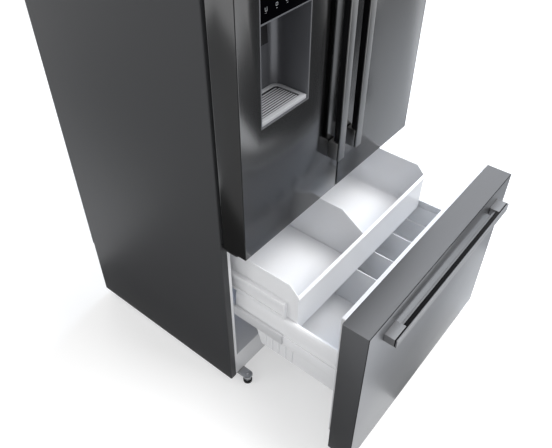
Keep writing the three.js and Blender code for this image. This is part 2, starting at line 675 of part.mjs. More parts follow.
// The machine room's cover stands a little inside the case, with louvres and two bored bosses: the
// strain relief of the mains lead on the left, the water inlet on the right.
function compressorCover() {
  const front = CASE_BACK - COVER_INSET;
  const wide = H - STEEL - FIT;
  let cover = block([-wide, wide], [front, front + STEEL], [BASE_TOP + FIT, MACHINE_TOP - FIT]);
  const middle = (CASE_BOTTOM + MACHINE_TOP) / 2;
  for (const x of [-LOUVRE_LENGTH, LOUVRE_LENGTH]) {
    for (let i = 0; i < LOUVRE_COUNT; i += 1) {
      const z = middle + (i - (LOUVRE_COUNT - 1) / 2) * LOUVRE_PITCH;
      cover = cut(cover, block([x - LOUVRE_LENGTH / 2, x + LOUVRE_LENGTH / 2],
        [front - PAST, front + STEEL + PAST], [z - LOUVRE_HEIGHT / 2, z + LOUVRE_HEIGHT / 2]));
    }
  }
  for (const [side, { fromSide, z, radius, bore, length }] of [[-1, GLAND], [1, WATER_INLET]]) {
    const centre = [side * (H - fromSide), 0, z];
    const end = front + STEEL + length;
    cover = cut(fuse(cover, rod('y', centre, radius, [front, end], 16)),
      rod('y', centre, bore, [front - PAST, end + PAST], 12));
  }
  return cover;
}

function centreRail() {
  return block([-FLANGE_X, FLANGE_X], [CASE_FRONT, CASE_FRONT + STEEL], [RAIL_BOTTOM, RAIL_TOP]);
}

function rollerFork(side) {
  const centre = side * (H - ROLLER_X);
  const parts = [];
  for (const cheek of [-1, 1]) {
    const inner = centre + cheek * (ROLLER_WIDTH / 2 + FORK_GAP);
    parts.push(block(spread(inner, inner + cheek * CHEEK),
      [ROLLER_Y - CHEEK_LENGTH / 2, ROLLER_Y + CHEEK_LENGTH / 2],
      [ROLLER_RADIUS - CHEEK_DROP, BASE_TOP]));
  }
  return parts;
}

function footBracket(x) {
  const half = BRACKET_WIDTH / 2;
  return extrude('z', roundRect([x - half, x + half],
    [FOOT_Y - half, CASE_FRONT + STEEL + BRACKET_WIDTH], half - PAST), [CASE_BOTTOM, BASE_TOP], 4);
}

function baseFrame() {
  let base = block([-H + STEEL, H - STEEL], [CASE_FRONT + STEEL, CASE_INNER_BACK],
    [CASE_BOTTOM, BASE_TOP]);
  const through = [CASE_BOTTOM - PAST, BASE_TOP + PAST];
  const wellLength = ROLLER_RADIUS + ROLLER_WELL;
  for (const side of [-1, 1]) {
    const foot = side * (H - FOOT_X);
    const wheel = side * (H - ROLLER_X);
    const wellWidth = ROLLER_WIDTH / 2 + FORK_GAP;
    base = fuse(base, footBracket(foot), ...rollerFork(side));
    base = cut(base,
      rod('z', [foot, FOOT_Y, 0], FOOT_STUD + FIT * 2, through, 12),
      block([wheel - wellWidth, wheel + wellWidth], [ROLLER_Y - wellLength, ROLLER_Y + wellLength],
        through),
      rod('x', [0, ROLLER_Y, ROLLER_RADIUS], AXLE_HOLE_RADIUS,
        [wheel - ROLLER_WIDTH, wheel + ROLLER_WIDTH], 12));
  }
  const motor = rod('x', [0, FAN_Y, FAN_Z], MOTOR.radius, [FAN_X - MOTOR.front, FAN_X - MOTOR.end]);
  const post = block([FAN_X - MOTOR_POST.front, FAN_X - MOTOR_POST.end],
    [FAN_Y - MOTOR_POST.width / 2, FAN_Y + MOTOR_POST.width / 2], [BASE_TOP - BITE, FAN_Z]);
  return fuse(base, post, motor);
}

// Levelling foot: a round pad under a hexagon, with its stud in the bracket.
function foot(x) {
  const seat = CASE_BOTTOM - FIT;
  const pad = turned([
    [0, 0], [FOOT_RADIUS - FOOT_CHAMFER, 0], [FOOT_RADIUS, FOOT_CHAMFER],
    [FOOT_RADIUS, FOOT_PAD_HEIGHT - FOOT_CHAMFER], [FOOT_RADIUS - FOOT_CHAMFER, FOOT_PAD_HEIGHT],
    [0, FOOT_PAD_HEIGHT],
  ], [x, FOOT_Y, 0], 24);
  const nut = rod('z', [x, FOOT_Y, 0], FOOT_NUT_RADIUS, [FOOT_PAD_HEIGHT - BITE, seat], 6);
  const stud = rod('z', [x, FOOT_Y, 0], FOOT_STUD, [seat - BITE, CASE_BOTTOM + STUD_LENGTH], 12);
  return fuse(pad, nut, stud);
}

function roller(side) {
  const x = side * (H - ROLLER_X);
  const reach = ROLLER_WIDTH / 2 + FORK_GAP + CHEEK + PAST;
  return fuse(rod('x', [0, ROLLER_Y, ROLLER_RADIUS], ROLLER_RADIUS,
    [x - ROLLER_WIDTH / 2, x + ROLLER_WIDTH / 2], 24),
  rod('x', [0, ROLLER_Y, ROLLER_RADIUS], AXLE_RADIUS, [x - reach, x + reach], 12));
}

// ---------------------------------------------------------------- cooling

// A welded pot with its joint rim, on a plate with four rubber mounts, and its discharge pipe.
function compressor() {
  const { radius, height, joint, jointHeight, lift } = COMPRESSOR;
  const [x, y] = [COMPRESSOR_X, COMPRESSOR_Y];
  const low = BASE_TOP + RUBBER_MOUNT.height;
  const half = height / 2;
  const pot = turned([
    [0, 0], [radius * 0.7, 0], [radius * 0.95, height * 0.08], [radius, height * 0.23],
    [radius, half], [radius + joint, half], [radius + joint, half + jointHeight],
    [radius, half + jointHeight], [radius, height * 0.7], [radius * 0.86, height * 0.9],
    [radius * 0.5, height], [0, height],
  ], [x, y, low + lift], 24);
  const { reach, set, thickness, corner } = COMPRESSOR_PLATE;
  const plate = extrude('z', roundRect([x - radius - reach, x + radius + reach],
    [y - radius + set, y + radius - set], corner), [low, low + thickness]);
  const mounts = [];
  for (const dx of [-radius, radius]) {
    for (const dy of [-radius + RUBBER_MOUNT.inset, radius - RUBBER_MOUNT.inset]) {
      mounts.push(rod('z', [x + dx, y + dy, 0], RUBBER_MOUNT.radius, [BASE_TOP, low + BITE], 12));
    }
  }
  const pipe = DISCHARGE.radius;
  const out = x + radius + DISCHARGE.reach;
  const discharge = tube([
    [x + radius - 2 * pipe, y, low + DISCHARGE.start], [out - pipe, y, low + DISCHARGE.start + pipe],
    [out, y, low + DISCHARGE.bend], [out, y, low + DISCHARGE.end],
  ], pipe, COIL_SIDES, 12);
  return fuse(pot, plate, discharge, ...mounts);
}

function condenserCoil() {
  const { length, depth, rows, z, radius } = CONDENSER;
  const [x0, x1] = [CONDENSER_X, CONDENSER_X + length];
  const [y0, y1] = [CONDENSER_Y, CONDENSER_Y + depth];
  const coil = serpentine([x0, x1], Array.from({ length: rows },
    (_, row) => [y0 + (depth * row) / (rows - 1), z]), radius);
  const stays = [];
  for (const x of [x0 + STAY.inset, x1 - STAY.inset]) {
    const width = [x - STEEL, x + STEEL];
    stays.push(block(width, [y0 - STAY.reach, y1 + STAY.reach], [z - radius - STAY.cap, z + BITE]));
    stays.push(block(width, [y0 - STAY.reach, y0 + STAY.lap], [BASE_TOP, z]));
    stays.push(block(width, [y1 - STAY.lap, y1 + STAY.reach], [BASE_TOP, z]));
  }
  return fuse(coil, ...stays);
}

// A fan drawn round its own shaft, which runs along X or Y.
function fan(axis, centre, radius, blades) {
  const hub = FAN_HUB * radius;
  const root = hub * 0.6;
  const depth = FAN_DEPTH * radius;
  const middle = axis === 'x' ? centre[0] : centre[1];
  const span = [middle - depth / 2, middle + depth / 2];
  const parts = [];
  for (let i = 0; i < blades; i += 1) {
    const blade = new THREE.BoxGeometry(radius - root, depth * 0.9, BLADE, 2, 1, 1);
    const position = blade.attributes.position;
    for (let v = 0; v < position.count; v += 1) {
      const out = position.getX(v) + (radius - root) / 2;
      position.setY(v, position.getY(v) * (0.75 + (0.5 * out) / radius));
    }
    blade.rotateX(THREE.MathUtils.degToRad(BLADE_PITCH));
    blade.translate((radius + root) / 2, 0, 0);
    blade.rotateY((i * Math.PI * 2) / blades);
    if (axis === 'x') blade.rotateZ(Math.PI / 2);
    blade.translate(...centre);
    parts.push(solidFrom(blade));
  }
  return fuse(rod(axis, centre, hub, span, 16), ...parts);
}

function condenserFan() {
  const centre = [FAN_X, FAN_Y, FAN_Z];
  return fuse(fan('x', centre, FAN_RADIUS, BLADES),
    rod('x', centre, SHAFT_RADIUS, [FAN_X - MOTOR.end + FIT, FAN_X], 10));
}

// A row of slots through a sheet that faces Y: middle of the row, size of a slot, pitch and count.
function slots([x, z], [width, height], [stepX, stepZ], count, range) {
  const middle = (count - 1) / 2;
  return Array.from({ length: count }, (_, i) => {
    const at = [x + (i - middle) * stepX, z + (i - middle) * stepZ];
    return block([at[0] - width / 2, at[0] + width / 2], range,
      [at[1] - height / 2, at[1] + height / 2]);
  });
}

function evaporatorCover() {
  const high = FREEZER_CEILING - FIT;
  const wide = LINER_X - FIT;
  const through = [COVER_Y - PAST, COVER_Y + COVER_SHEET + PAST];
  const shell = cut(block([-wide, wide], [COVER_Y, COVER_BACK], [COVER_BOTTOM, high]),
    block([-wide + COVER_SHEET, wide - COVER_SHEET], [COVER_Y + COVER_SHEET, COVER_BACK + PAST],
      [COVER_BOTTOM + COVER_SHEET, high - COVER_SHEET]),
    ...slots([0, COLD_FAN_Z], [COVER_GRILLE.width, COVER_GRILLE.height], [0, COVER_GRILLE.pitch],
      COVER_GRILLE.count, through),
    ...slots([0, COVER_BOTTOM + COVER_RETURN.lift + COVER_RETURN.height / 2],
      [COVER_RETURN.width, COVER_RETURN.height], [COVER_RETURN.pitch, 0], COVER_RETURN.count,
      through));
  const { reach, width, height, thickness } = FAN_ARM;
  const level = [COLD_FAN_Z - height / 2, COLD_FAN_Z + height / 2];
  const arm = block([-reach, reach], [COVER_BACK - thickness, COVER_BACK], level);
  const bearing = rod('y', [0, 0, COLD_FAN_Z], FAN_ARM.boss,
    [COVER_BACK - FAN_ARM.bossDepth, COVER_BACK], 14);
  const feet = [-1, 1].map((side) => block(
    mirrored(side, reach - width / 2, reach + width / 2), [COVER_Y + BITE, COVER_BACK], level));
  return fuse(shell, arm, bearing, ...feet);
}

function evaporatorCoil() {
  const { reach, lift, height, margin, passes, radius, fins, fin } = EVAPORATOR;
  const y = (COVER_Y + COVER_SHEET + FREEZER_BACK) / 2;
  const z0 = MACHINE_TOP + STEP_WALL + lift;
  const coil = serpentine([-reach, reach], Array.from({ length: passes },
    (_, pass) => [y, z0 + margin + ((height - 2 * margin) * pass) / (passes - 1)]), radius);
  const plates = Array.from({ length: fins }, (_, i) => {
    const x = -reach + margin + (2 * (reach - margin) * i) / (fins - 1);
    return block([x - fin / 2, x + fin / 2], [COVER_Y + COVER_SHEET + STEEL, COVER_BACK],
      [z0, z0 + height]);
  });
  return fuse(coil, ...plates);
}

function evaporatorFan() {
  const y = COVER_Y + COVER_SHEET + COLD_FAN_GAP;
  const centre = [0, y, COLD_FAN_Z];
  return fuse(fan('y', centre, COLD_FAN_RADIUS, BLADES),
    rod('y', centre, SHAFT_RADIUS, [y, COVER_BACK - FAN_ARM.bossDepth - FIT], 10));
}

// ---------------------------------------------------------------- hinges

function topHinge(side) {
  const width = mirrored(side, H - HINGE_SIDE - TOP_HINGE_WIDTH, H - HINGE_SIDE);
  const plate = extrude('z', roundRect(width, [HINGE_Y - PIN_LAND, TOP_HINGE_END], HINGE_CORNER),
    [CASE_TOP, CASE_TOP + HINGE_PLATE], 4);
  const pin = rod('z', [side * (H - HINGE_X), HINGE_Y, 0], PIN_RADIUS,
    [DOOR_TOP - PIN_LENGTH, CASE_TOP + BITE]);
  return fuse(plate, pin);
}

// Moulded cover over a top hinge, with its upper edges sloped off.
function hingeCover(side) {
  const { width, front, end, height, wall, radius } = HINGE_COVER;
  const top = CASE_TOP + height;
  const [x0, x1] = mirrored(side, H - HINGE_COVER.side - width, H - HINGE_COVER.side);
  const slope = radius / 2;
  const sloped = outline([
    [front, CASE_TOP], [end, CASE_TOP], [end, top - slope * 2], [end - slope * 3, top],
    [front + slope, top], [front, top - slope],
  ]);
  const shell = extrude('z', roundRect([x0, x1], [front, end], radius), [CASE_TOP, top], 5)
    .intersect(extrude('x', sloped, [x0 - PAST, x1 + PAST]));
  const inside = block([x0 + wall, x1 - wall], [front + COVER_END_WALL, end - COVER_END_WALL],
    [CASE_TOP - PAST, top - slope * 2]);
  return cut(shell, inside);
}

function middleHinge(side) {
  const z = MIDDLE_HINGE_Z;
  const axis = [side * (H - HINGE_X), HINGE_Y, 0];
  const tab = block(mirrored(side, H - HINGE_SIDE - HINGE_TAB.width, H - HINGE_SIDE),
    [CASE_FRONT - HINGE_TAB.thickness, CASE_FRONT],
    [z - HINGE_TAB.below, z - HINGE_TAB.below + HINGE_TAB.height]);
  const width = mirrored(side, H - HINGE_SIDE - MIDDLE_HINGE_WIDTH, H - HINGE_SIDE);
  const plate = extrude('z', roundRect(width, [HINGE_Y - PIN_LAND, CASE_FRONT - BITE], HINGE_CORNER),
    [z, z + HINGE_PLATE], 4);
  const pin = rod('z', axis, PIN_RADIUS, [z, DOOR_BOTTOM + PIN_LENGTH]);
  const washer = rod('z', axis, PIN_RADIUS + WASHER_RIM, [z + BITE, DOOR_BOTTOM - FIT]);
  return fuse(tab, plate, pin, washer);
}

// ---------------------------------------------------------------- doors

// Formed sheet with its edges turned in behind, open at the back inside them.
function frontSkin([x0, x1], front, [z0, z1]) {
  const back = front + DOOR_THICKNESS;
  const slab = extrude('z', roundRect([x0, x1], [front, back], DOOR_EDGE_RADIUS), [z0, z1]);
  const hollow = block([x0 + SKIN, x1 - SKIN], [front + SKIN, back - SKIN], [z0 + SKIN, z1 - SKIN]);
  const mouth = block([x0 + PANEL_INSET, x1 - PANEL_INSET], [back - SKIN - PAST, back + PAST],
    [z0 + PANEL_INSET, z1 - PANEL_INSET]);
  return cut(slab, hollow, mouth);
}

// The plastic inner panel with the foam bonded to it, which fills the skin.
function frontCore([x0, x1], front, [z0, z1]) {
  const back = front + DOOR_THICKNESS;
  const gap = SKIN + FIT;
  const edge = PANEL_INSET + FIT;
  return fuse(
    block([x0 + gap, x1 - gap], [front + gap, back - gap], [z0 + gap, z1 - gap]),
    block([x0 + edge, x1 - edge], [back - gap - PAST, back], [z0 + edge, z1 - edge]));
}

const doorWidth = (side) => mirrored(side, DOOR_SPLIT / 2, H);

const pinHoles = (side) => fuse(...[
  [DOOR_BOTTOM - PAST, DOOR_BOTTOM + PIN_LENGTH + STEEL],
  [DOOR_TOP - PIN_LENGTH - STEEL, DOOR_TOP + PAST],
].map((range) => rod('z', [side * (H - HINGE_X), HINGE_Y, 0], PIN_HOLE_RADIUS, range)));

const doorSkin = (side) => cut(
  frontSkin(doorWidth(side), 0, [DOOR_BOTTOM, DOOR_TOP]), pinHoles(side));

// The dispenser's housing as a block, grown by a gap on every side.
function housingBlock(gap, front, back) {
  const rim = HOUSING_WALL + gap;
  return block([NICHE_X - rim, NICHE_X + NICHE_WIDTH + rim], [front, back],
    [NICHE_BOTTOM - rim, PANEL_TOP + rim]);
}

const dikeWidth = (side) => mirrored(side, DIKE_INNER_EDGE, H - DIKE_EDGE);
const binLevels = (side) => BIN_LEVELS[side].map((lift) => FRIDGE_FLOOR + lift);

function doorLiner(side) {
  const core = cut(frontCore(doorWidth(side), 0, [DOOR_BOTTOM, DOOR_TOP]), pinHoles(side));
  const [d0, d1] = dikeWidth(side);
  const back = DOOR_THICKNESS + DIKE_DEPTH;
  const dike = cut(extrude('y', roundRect([d0, d1], [DIKE_BOTTOM, DIKE_TOP], DIKE_RADIUS),
    [DOOR_THICKNESS - BITE, back], 4),
  extrude('y', roundRect([d0 + DIKE_WALL, d1 - DIKE_WALL],
    [DIKE_BOTTOM + DIKE_WALL, DIKE_TOP - DIKE_WALL], DIKE_RADIUS / 2),
  [DOOR_THICKNESS, back + PAST], 4));
  const lugs = [];
  for (const level of binLevels(side)) {
    for (const x of [d0 + DIKE_WALL - BITE, d1 - DIKE_WALL + BITE - LUG.width]) {
      lugs.push(block([x, x + LUG.width], [DOOR_THICKNESS - BITE, back],
        [level - LUG.height, level - FIT]));
    }
  }
  return fuse(core, dike, ...lugs);
}

function leftDoorLiner() {
  const jacket = housingBlock(HOUSING_JACKET, DOOR_THICKNESS - BITE, HOUSING_END + STEEL + BITE);
  const body = fuse(doorLiner(-1), jacket);
  return fuse(cut(body, housingBlock(FIT, 0, HOUSING_END + FIT)), ...flapEars());
}

function flapEars() {
  const reach = FLAP_EAR_REACH;
  return [[FLAP_BOTTOM, FLAP_BOTTOM + FLAP_EAR], [FLAP_TOP - FLAP_EAR, FLAP_TOP]].map((range) => {
    const ear = extrude('z', roundRect([-DIKE_INNER_EDGE - DIKE_WALL / 2, FLAP_X + reach],
      [FLAP_Y - reach, FLAP_Y + reach], reach - STEEL), range, 4);
    return cut(ear, rod('z', [FLAP_X, FLAP_Y, 0], FLAP_PIN_RADIUS + RUN,
      [range[0] - PAST, range[1] + PAST], 12));
  });
}

function mullionFlap() {
  const shape = new THREE.Shape();
  shape.absarc(FLAP_X, FLAP_Y, FLAP_RADIUS, Math.PI, Math.PI * 2);
  shape.lineTo(FLAP_X + FLAP_RADIUS, CASE_FRONT + FLAP_WIDTH);
  shape.lineTo(FLAP_X - FLAP_RADIUS, CASE_FRONT + FLAP_WIDTH);
  return fuse(
    extrude('z', shape, [FLAP_BOTTOM + FLAP_EAR + FIT, FLAP_TOP - FLAP_EAR - FIT], 8),
    rod('z', [FLAP_X, FLAP_Y, 0], FLAP_PIN_RADIUS, [FLAP_BOTTOM + BITE, FLAP_TOP - BITE], 12));
}

function seal([x0, x1], [z0, z1], y) {
  const ring = (inset, width, from, to) => cut(
    extrude('y', roundRect([x0 + inset, x1 - inset], [z0 + inset, z1 - inset], SEAL_RADIUS),
      [from, to]),
    block([x0 + inset + width, x1 - inset - width], [from - PAST, to + PAST],
      [z0 + inset + width, z1 - inset - width]));
  const lipInset = (SEAL_WIDTH - SEAL_LIP) / 2;
  return fuse(ring(0, SEAL_WIDTH, y + FIT, y + SEAL_BASE),
    ring(lipInset, SEAL_LIP, y + SEAL_BASE - BITE, y + SEAL_BACK));
}

// A flat plate over a narrower spine, on two end posts that stand on the face at y. The handle is
// drawn along Z between the given ends; across is its place in X.
function uprightHandle(across, [low, high], y) {
  const front = y - HANDLE_PROJECTION;
  const plateBack = front + HANDLE_PLATE;
  const inset = (HANDLE_WIDTH - HANDLE_SPINE_WIDTH) / 2;
  const plate = extrude('z', roundRect(across, [front, plateBack], HANDLE_EDGE_RADIUS),
    [low, high], 3);
  const spine = block([across[0] + inset, across[1] - inset],
    [plateBack - BITE, plateBack + HANDLE_SPINE_DEPTH], [low + BITE, high - BITE]);
  const posts = [[low, low + HANDLE_POST], [high - HANDLE_POST, high]].map((range) =>
    block(across, [plateBack - BITE, y], range));
  return fuse(plate, spine, ...posts);
}

// The drawer's handle is the same one turned to lie along X, with its top at the given height.
function levelHandle([x0, x1], top, y) {
  return uprightHandle([top - HANDLE_WIDTH, top], [-x1, -x0], y).rotate([0, 90, 0])
    .mirror([0, 0, 1]);
}

function doorBin(side, level) {
  const [d0, d1] = dikeWidth(side);
  const x0 = d0 + DIKE_WALL + FIT;
  const x1 = d1 - DIKE_WALL - FIT;
  const y0 = DOOR_THICKNESS + FIT;
  const y1 = DOOR_THICKNESS + BIN_DEPTH;
  const top = level + BIN_HEIGHT;
  const foot = y1 - BIN_LEAN - BIN_FOOT_CUT;
  const outside = outline([
    [y0, level], [foot, level], [y1 - BIN_LEAN, level + BIN_FOOT_CUT], [y1, top], [y0, top],
  ]);
  const inside = outline([
    [y0 + BIN_WALL, level + BIN_WALL], [foot - BIN_WALL / 2, level + BIN_WALL],
    [y1 - BIN_LEAN - BIN_WALL, level + BIN_FOOT_CUT + BIN_WALL / 2], [y1 - BIN_WALL, top + PAST],
    [y0 + BIN_WALL, top + PAST],
  ]);
  return cut(extrude('x', outside, [x0, x1]),
    extrude('x', inside, [x0 + BIN_WALL, x1 - BIN_WALL]));
}

// ---------------------------------------------------------------- dispenser

// The moulded niche, its seat for the control panel, the ice chute and the paddle's two cheeks.
function dispenserHousing() {
  const niche = extrude('z', roundRect([NICHE_X, NICHE_X + NICHE_WIDTH],
    [-NICHE_CORNER * 2, NICHE_DEPTH], NICHE_CORNER), [NICHE_BOTTOM, NICHE_TOP], 5);
  const panelSeat = block([NICHE_X, NICHE_X + NICHE_WIDTH], [-PAST, CONTROL_THICKNESS],
    [PANEL_BOTTOM, PANEL_TOP]);
  return fuse(cut(housingBlock(-FIT, 0, HOUSING_END), niche, panelSeat), iceChute(),
    paddleCheek(-1), paddleCheek(1));
}

function iceChute() {
  const { front, depth, width, height, wall, radius } = CHUTE;
  const half = width / 2;
  return cut(
    extrude('z', roundRect([NICHE_MIDDLE - half, NICHE_MIDDLE + half], [front, front + depth],
      radius), [NICHE_TOP - height, NICHE_TOP + BITE], 4),
    extrude('z', roundRect([NICHE_MIDDLE - half + wall, NICHE_MIDDLE + half - wall],
      [front + wall, front + depth - wall], radius - wall / 2),
    [NICHE_TOP - height - PAST, NICHE_TOP - wall], 4));
}

function paddleCheek(side) {
  const inner = NICHE_MIDDLE + side * (PADDLE_WIDTH / 2 + CHEEK_GAP);
  return cut(block(spread(inner, inner + side * CHEEK_WIDTH),
    [PADDLE_HINGE_Y - CHEEK_REACH, PADDLE_HINGE_Y + CHEEK_REACH],
    [PADDLE_HINGE_Z - CHEEK_REACH, NICHE_TOP + BITE]),
  rod('x', [0, PADDLE_HINGE_Y, PADDLE_HINGE_Z], PADDLE_PIN_RADIUS + RUN,
    [NICHE_X, NICHE_X + NICHE_WIDTH], 12));
}

function controlPanel() {
  return extrude('y', roundRect([NICHE_X + FIT, NICHE_X + NICHE_WIDTH - FIT],
    [PANEL_BOTTOM + FIT, PANEL_TOP - FIT], CONTROL_RADIUS), [0, CONTROL_THICKNESS - FIT], 3);
}

// A thin lever that bends forward from its pin to its foot.
function dispenserPaddle() {
  const half = PADDLE_SHEET / 2;
  const top = PADDLE_HINGE_Z + PADDLE_PIN_RADIUS;
  const knee = PADDLE_BOTTOM + PADDLE_KNEE;
  const neck = PADDLE_HINGE_Z - PADDLE_NECK;
  const lever = outline([
    [PADDLE_HINGE_Y - PADDLE_SHEET, top], [PADDLE_HINGE_Y + half, top],
    [PADDLE_HINGE_Y + half, neck], [PADDLE_Y + PADDLE_SHEET, knee],
    [PADDLE_Y + half, PADDLE_BOTTOM], [PADDLE_Y - half, PADDLE_BOTTOM], [PADDLE_Y, knee],
    [PADDLE_HINGE_Y - PADDLE_SHEET, neck],
  ]);
  const end = PADDLE_WIDTH / 2 + PADDLE_PIN_END;
  return fuse(
    extrude('x', lever, [NICHE_MIDDLE - PADDLE_WIDTH / 2, NICHE_MIDDLE + PADDLE_WIDTH / 2]),
    rod('x', [0, PADDLE_HINGE_Y, PADDLE_HINGE_Z], PADDLE_PIN_RADIUS,
      [NICHE_MIDDLE - end, NICHE_MIDDLE + end], 12));
}

function dripTray() {
  const [x0, x1] = [NICHE_X + TRAY_GAP, NICHE_X + NICHE_WIDTH - TRAY_GAP];
  const low = NICHE_BOTTOM + FIT;
  const high = low + DRIP_TRAY_HEIGHT;
  const radius = NICHE_CORNER - TRAY_GAP;
  const back = NICHE_DEPTH - TRAY_GAP - FIT;
  const plate = extrude('z', roundRect([x0, x1], [DRIP_TRAY_FRONT, back], radius), [low, high], 5);
  const squareFront = block([x0, x1], [DRIP_TRAY_FRONT, DRIP_TRAY_FRONT + radius + PAST],
    [low, high]);
  const pitch = (NICHE_DEPTH - 2 * DRIP_BORDER) / DRIP_SLOTS;
  const cuts = [];
  for (let i = 0; i < DRIP_SLOTS; i += 1) {
    const y = DRIP_BORDER + pitch * (i + 0.5);
    const trim = DRIP_RIM - TRAY_GAP + (y > NICHE_DEPTH - NICHE_CORNER ? DRIP_CORNER_TRIM : 0);
    const half = (pitch * DRIP_SLOT_SHARE) / 2;
    cuts.push(block([x0 + trim, x1 - trim], [y - half, y + half],
      [low + DRIP_TRAY_FLOOR, high + PAST]));
  }
  return cut(fuse(plate, squareFront), ...cuts);
}

// ---------------------------------------------------------------- inside the fridge

function shelfPlate(level) {
  const wide = LINER_X - FIT;
  const low = level + FIT;
  const high = low + SHELF_THICKNESS;
  const plate = block([-wide, wide], [SHELF_FRONT, SHELF_BACK], [low, high]);
  const nose = block([-wide + LEDGE_REACH, wide - LEDGE_REACH],
    [SHELF_FRONT - SHELF_NOSE, SHELF_FRONT + SHELF_TRIM],
    [level - SHELF_TRIM, high + LEDGE_HEIGHT / 2]);
  const stop = block([-wide, wide], [SHELF_BACK - SHELF_TRIM, SHELF_BACK], [low, high + SHELF_STOP]);
  return fuse(plate, nose, stop);
}

function crisperFrame() {
  return fuse(shelfPlate(CRISPER_COVER_Z), block([-CENTRE_POST / 2, CENTRE_POST / 2],
    [SHELF_FRONT + CENTRE_POST, SHELF_BACK], [FRIDGE_FLOOR + FIT, CRISPER_COVER_Z + BITE]));
}

function crisper(side) {
  const [x0, x1] = mirrored(side, CENTRE_POST / 2 + CRISPER_GAP, LINER_X - LINER_CORNER);
  const [front, back] = [CRISPER_FRONT, CRISPER_BACK];
  const top = CRISPER_COVER_Z - CRISPER_DROP;
  const low = FRIDGE_FLOOR + FIT;
  const profile = (shrink, rim) => outline([
    [front + CRISPER_FOOT + shrink, low + shrink], [back - shrink, low + shrink],
    [back - shrink, rim], [front + shrink, rim], [front + shrink, top - CRISPER_BROW],
    [front + CRISPER_LEAN + shrink, low + CRISPER_FOOT_HEIGHT],
  ]);
  const shell = cut(extrude('x', profile(0, top), [x0, x1]),
    extrude('x', profile(BIN_WALL, top + PAST), [x0 + BIN_WALL, x1 - BIN_WALL]));
  const { width, reach, height, drop } = CRISPER_GRIP;
  const middle = (x0 + x1) / 2;
  const grip = block([middle - width / 2, middle + width / 2], [front - reach, front + BITE],
    [top - drop - height, top - drop]);
  return fuse(shell, grip);
}

// ---------------------------------------------------------------- freezer drawer

const drawerSkin = () => frontSkin([-H, H], DRAWER_FRONT, [DRAWER_BOTTOM, DRAWER_TOP]);

const drawerInnerPanel = () => fuse(
  frontCore([-H, H], DRAWER_FRONT, [DRAWER_BOTTOM, DRAWER_TOP]),
  extrude('y', roundRect([-H + RAISED_EDGE, H - RAISED_EDGE],
    [RAISED_TOP - RAISED_HEIGHT, RAISED_TOP], RAISED_RADIUS),
  [DRAWER_BACK - BITE, DRAWER_BACK + RAISED_DEPTH], 4));

// Section of a side frame: a lip for the bin, a plain band, a round shoulder, the tray's ledge.
function sideSection(side) {
  const at = (s) => side * (H - s);
  const face = SIDE_FACE;
  const inner = face + SIDE_SHEET;
  const flat = face + SHOULDER_SET_IN;
  const reach = TRAY_SIDE - FIT;
  const shape = new THREE.Shape();
  shape.moveTo(at(face), SIDE_BOTTOM);
  shape.lineTo(at(face), SHOULDER_BOTTOM);
  shape.quadraticCurveTo(at(face), LEDGE_TOP - SHOULDER_HEIGHT * 0.12, at(flat), LEDGE_TOP);
  shape.lineTo(at(reach), LEDGE_TOP);
  shape.lineTo(at(reach), LEDGE_TOP - SIDE_SHEET);
  shape.lineTo(at(flat + SIDE_SHEET / 2), LEDGE_TOP - SIDE_SHEET);
  shape.quadraticCurveTo(at(inner), LEDGE_TOP - SHOULDER_HEIGHT * 0.3, at(inner), SHOULDER_BOTTOM);
  shape.lineTo(at(inner), SIDE_BOTTOM + SIDE_SHEET);
  shape.lineTo(at(inner + LIP_WIDTH), SIDE_BOTTOM + SIDE_SHEET);
  shape.lineTo(at(inner + LIP_WIDTH), SIDE_BOTTOM);
  shape.closePath();
  return shape;
}

function drawerSide(side) {
  const start = DRAWER_BACK + FIT;
  const span = [start, start + SIDE_LENGTH];
  const frame = extrude('y', sideSection(side), span, 5);
  const rail = block(mirrored(side, H - SIDE_FACE - BITE, H - SIDE_FACE + INNER_RAIL), span,
    [SLIDE_BOTTOM + INNER_RAIL_INSET, SLIDE_TOP - INNER_RAIL_INSET]);
  const bracket = block(mirrored(side, H - SIDE_FACE - SIDE_BRACKET.reach, H - SIDE_FACE - BITE),
    [start, start + SIDE_BRACKET.thickness], [SIDE_BOTTOM + SIDE_BRACKET.lift, SHOULDER_BOTTOM]);
  const across = mirrored(side, H - SIDE_FACE - SIDE_SHEET - PAST, H - SIDE_FACE + PAST);
  const holes = SIDE_HOLES.map(([along, lift]) => rod('x', [0, start + along, SIDE_BOTTOM + lift],
    SIDE_HOLE_RADIUS, across, 8));
  return cut(fuse(frame, rail, bracket), ...holes);
}

function channel(side, [s0, s1], [z0, z1], [y0, y1], sheet) {
  const [x0, x1] = mirrored(side, H - s1, H - s0);
  const webSide = side < 0 ? [x0 + sheet, x1 + PAST] : [x0 - PAST, x1 - sheet];
  return cut(block([x0, x1], [y0, y1], [z0, z1]),
    block(webSide, [y0 - PAST, y1 + PAST], [z0 + sheet, z1 - sheet]));
}

function slideOuter(side) {
  return channel(side, [WALL + FIT, SIDE_FACE - SLIDE_OUTER_GAP], [SLIDE_BOTTOM, SLIDE_TOP],
    [SLIDE_START, SLIDE_START + SLIDE_LENGTH], SLIDE_SHEET);
}

// The middle member travels half as far as the drawer.
function slideMiddle(side) {
  const start = SLIDE_START - DRAWER_OPEN / 2;
  const inset = SLIDE_SHEET + RUN;
  return channel(side, [WALL + FIT + inset, SIDE_FACE - SLIDE_MIDDLE_GAP],
    [SLIDE_BOTTOM + inset, SLIDE_TOP - inset], [start, start + SLIDE_LENGTH - SLIDE_SHORTER],
    SLIDE_SHEET);
}

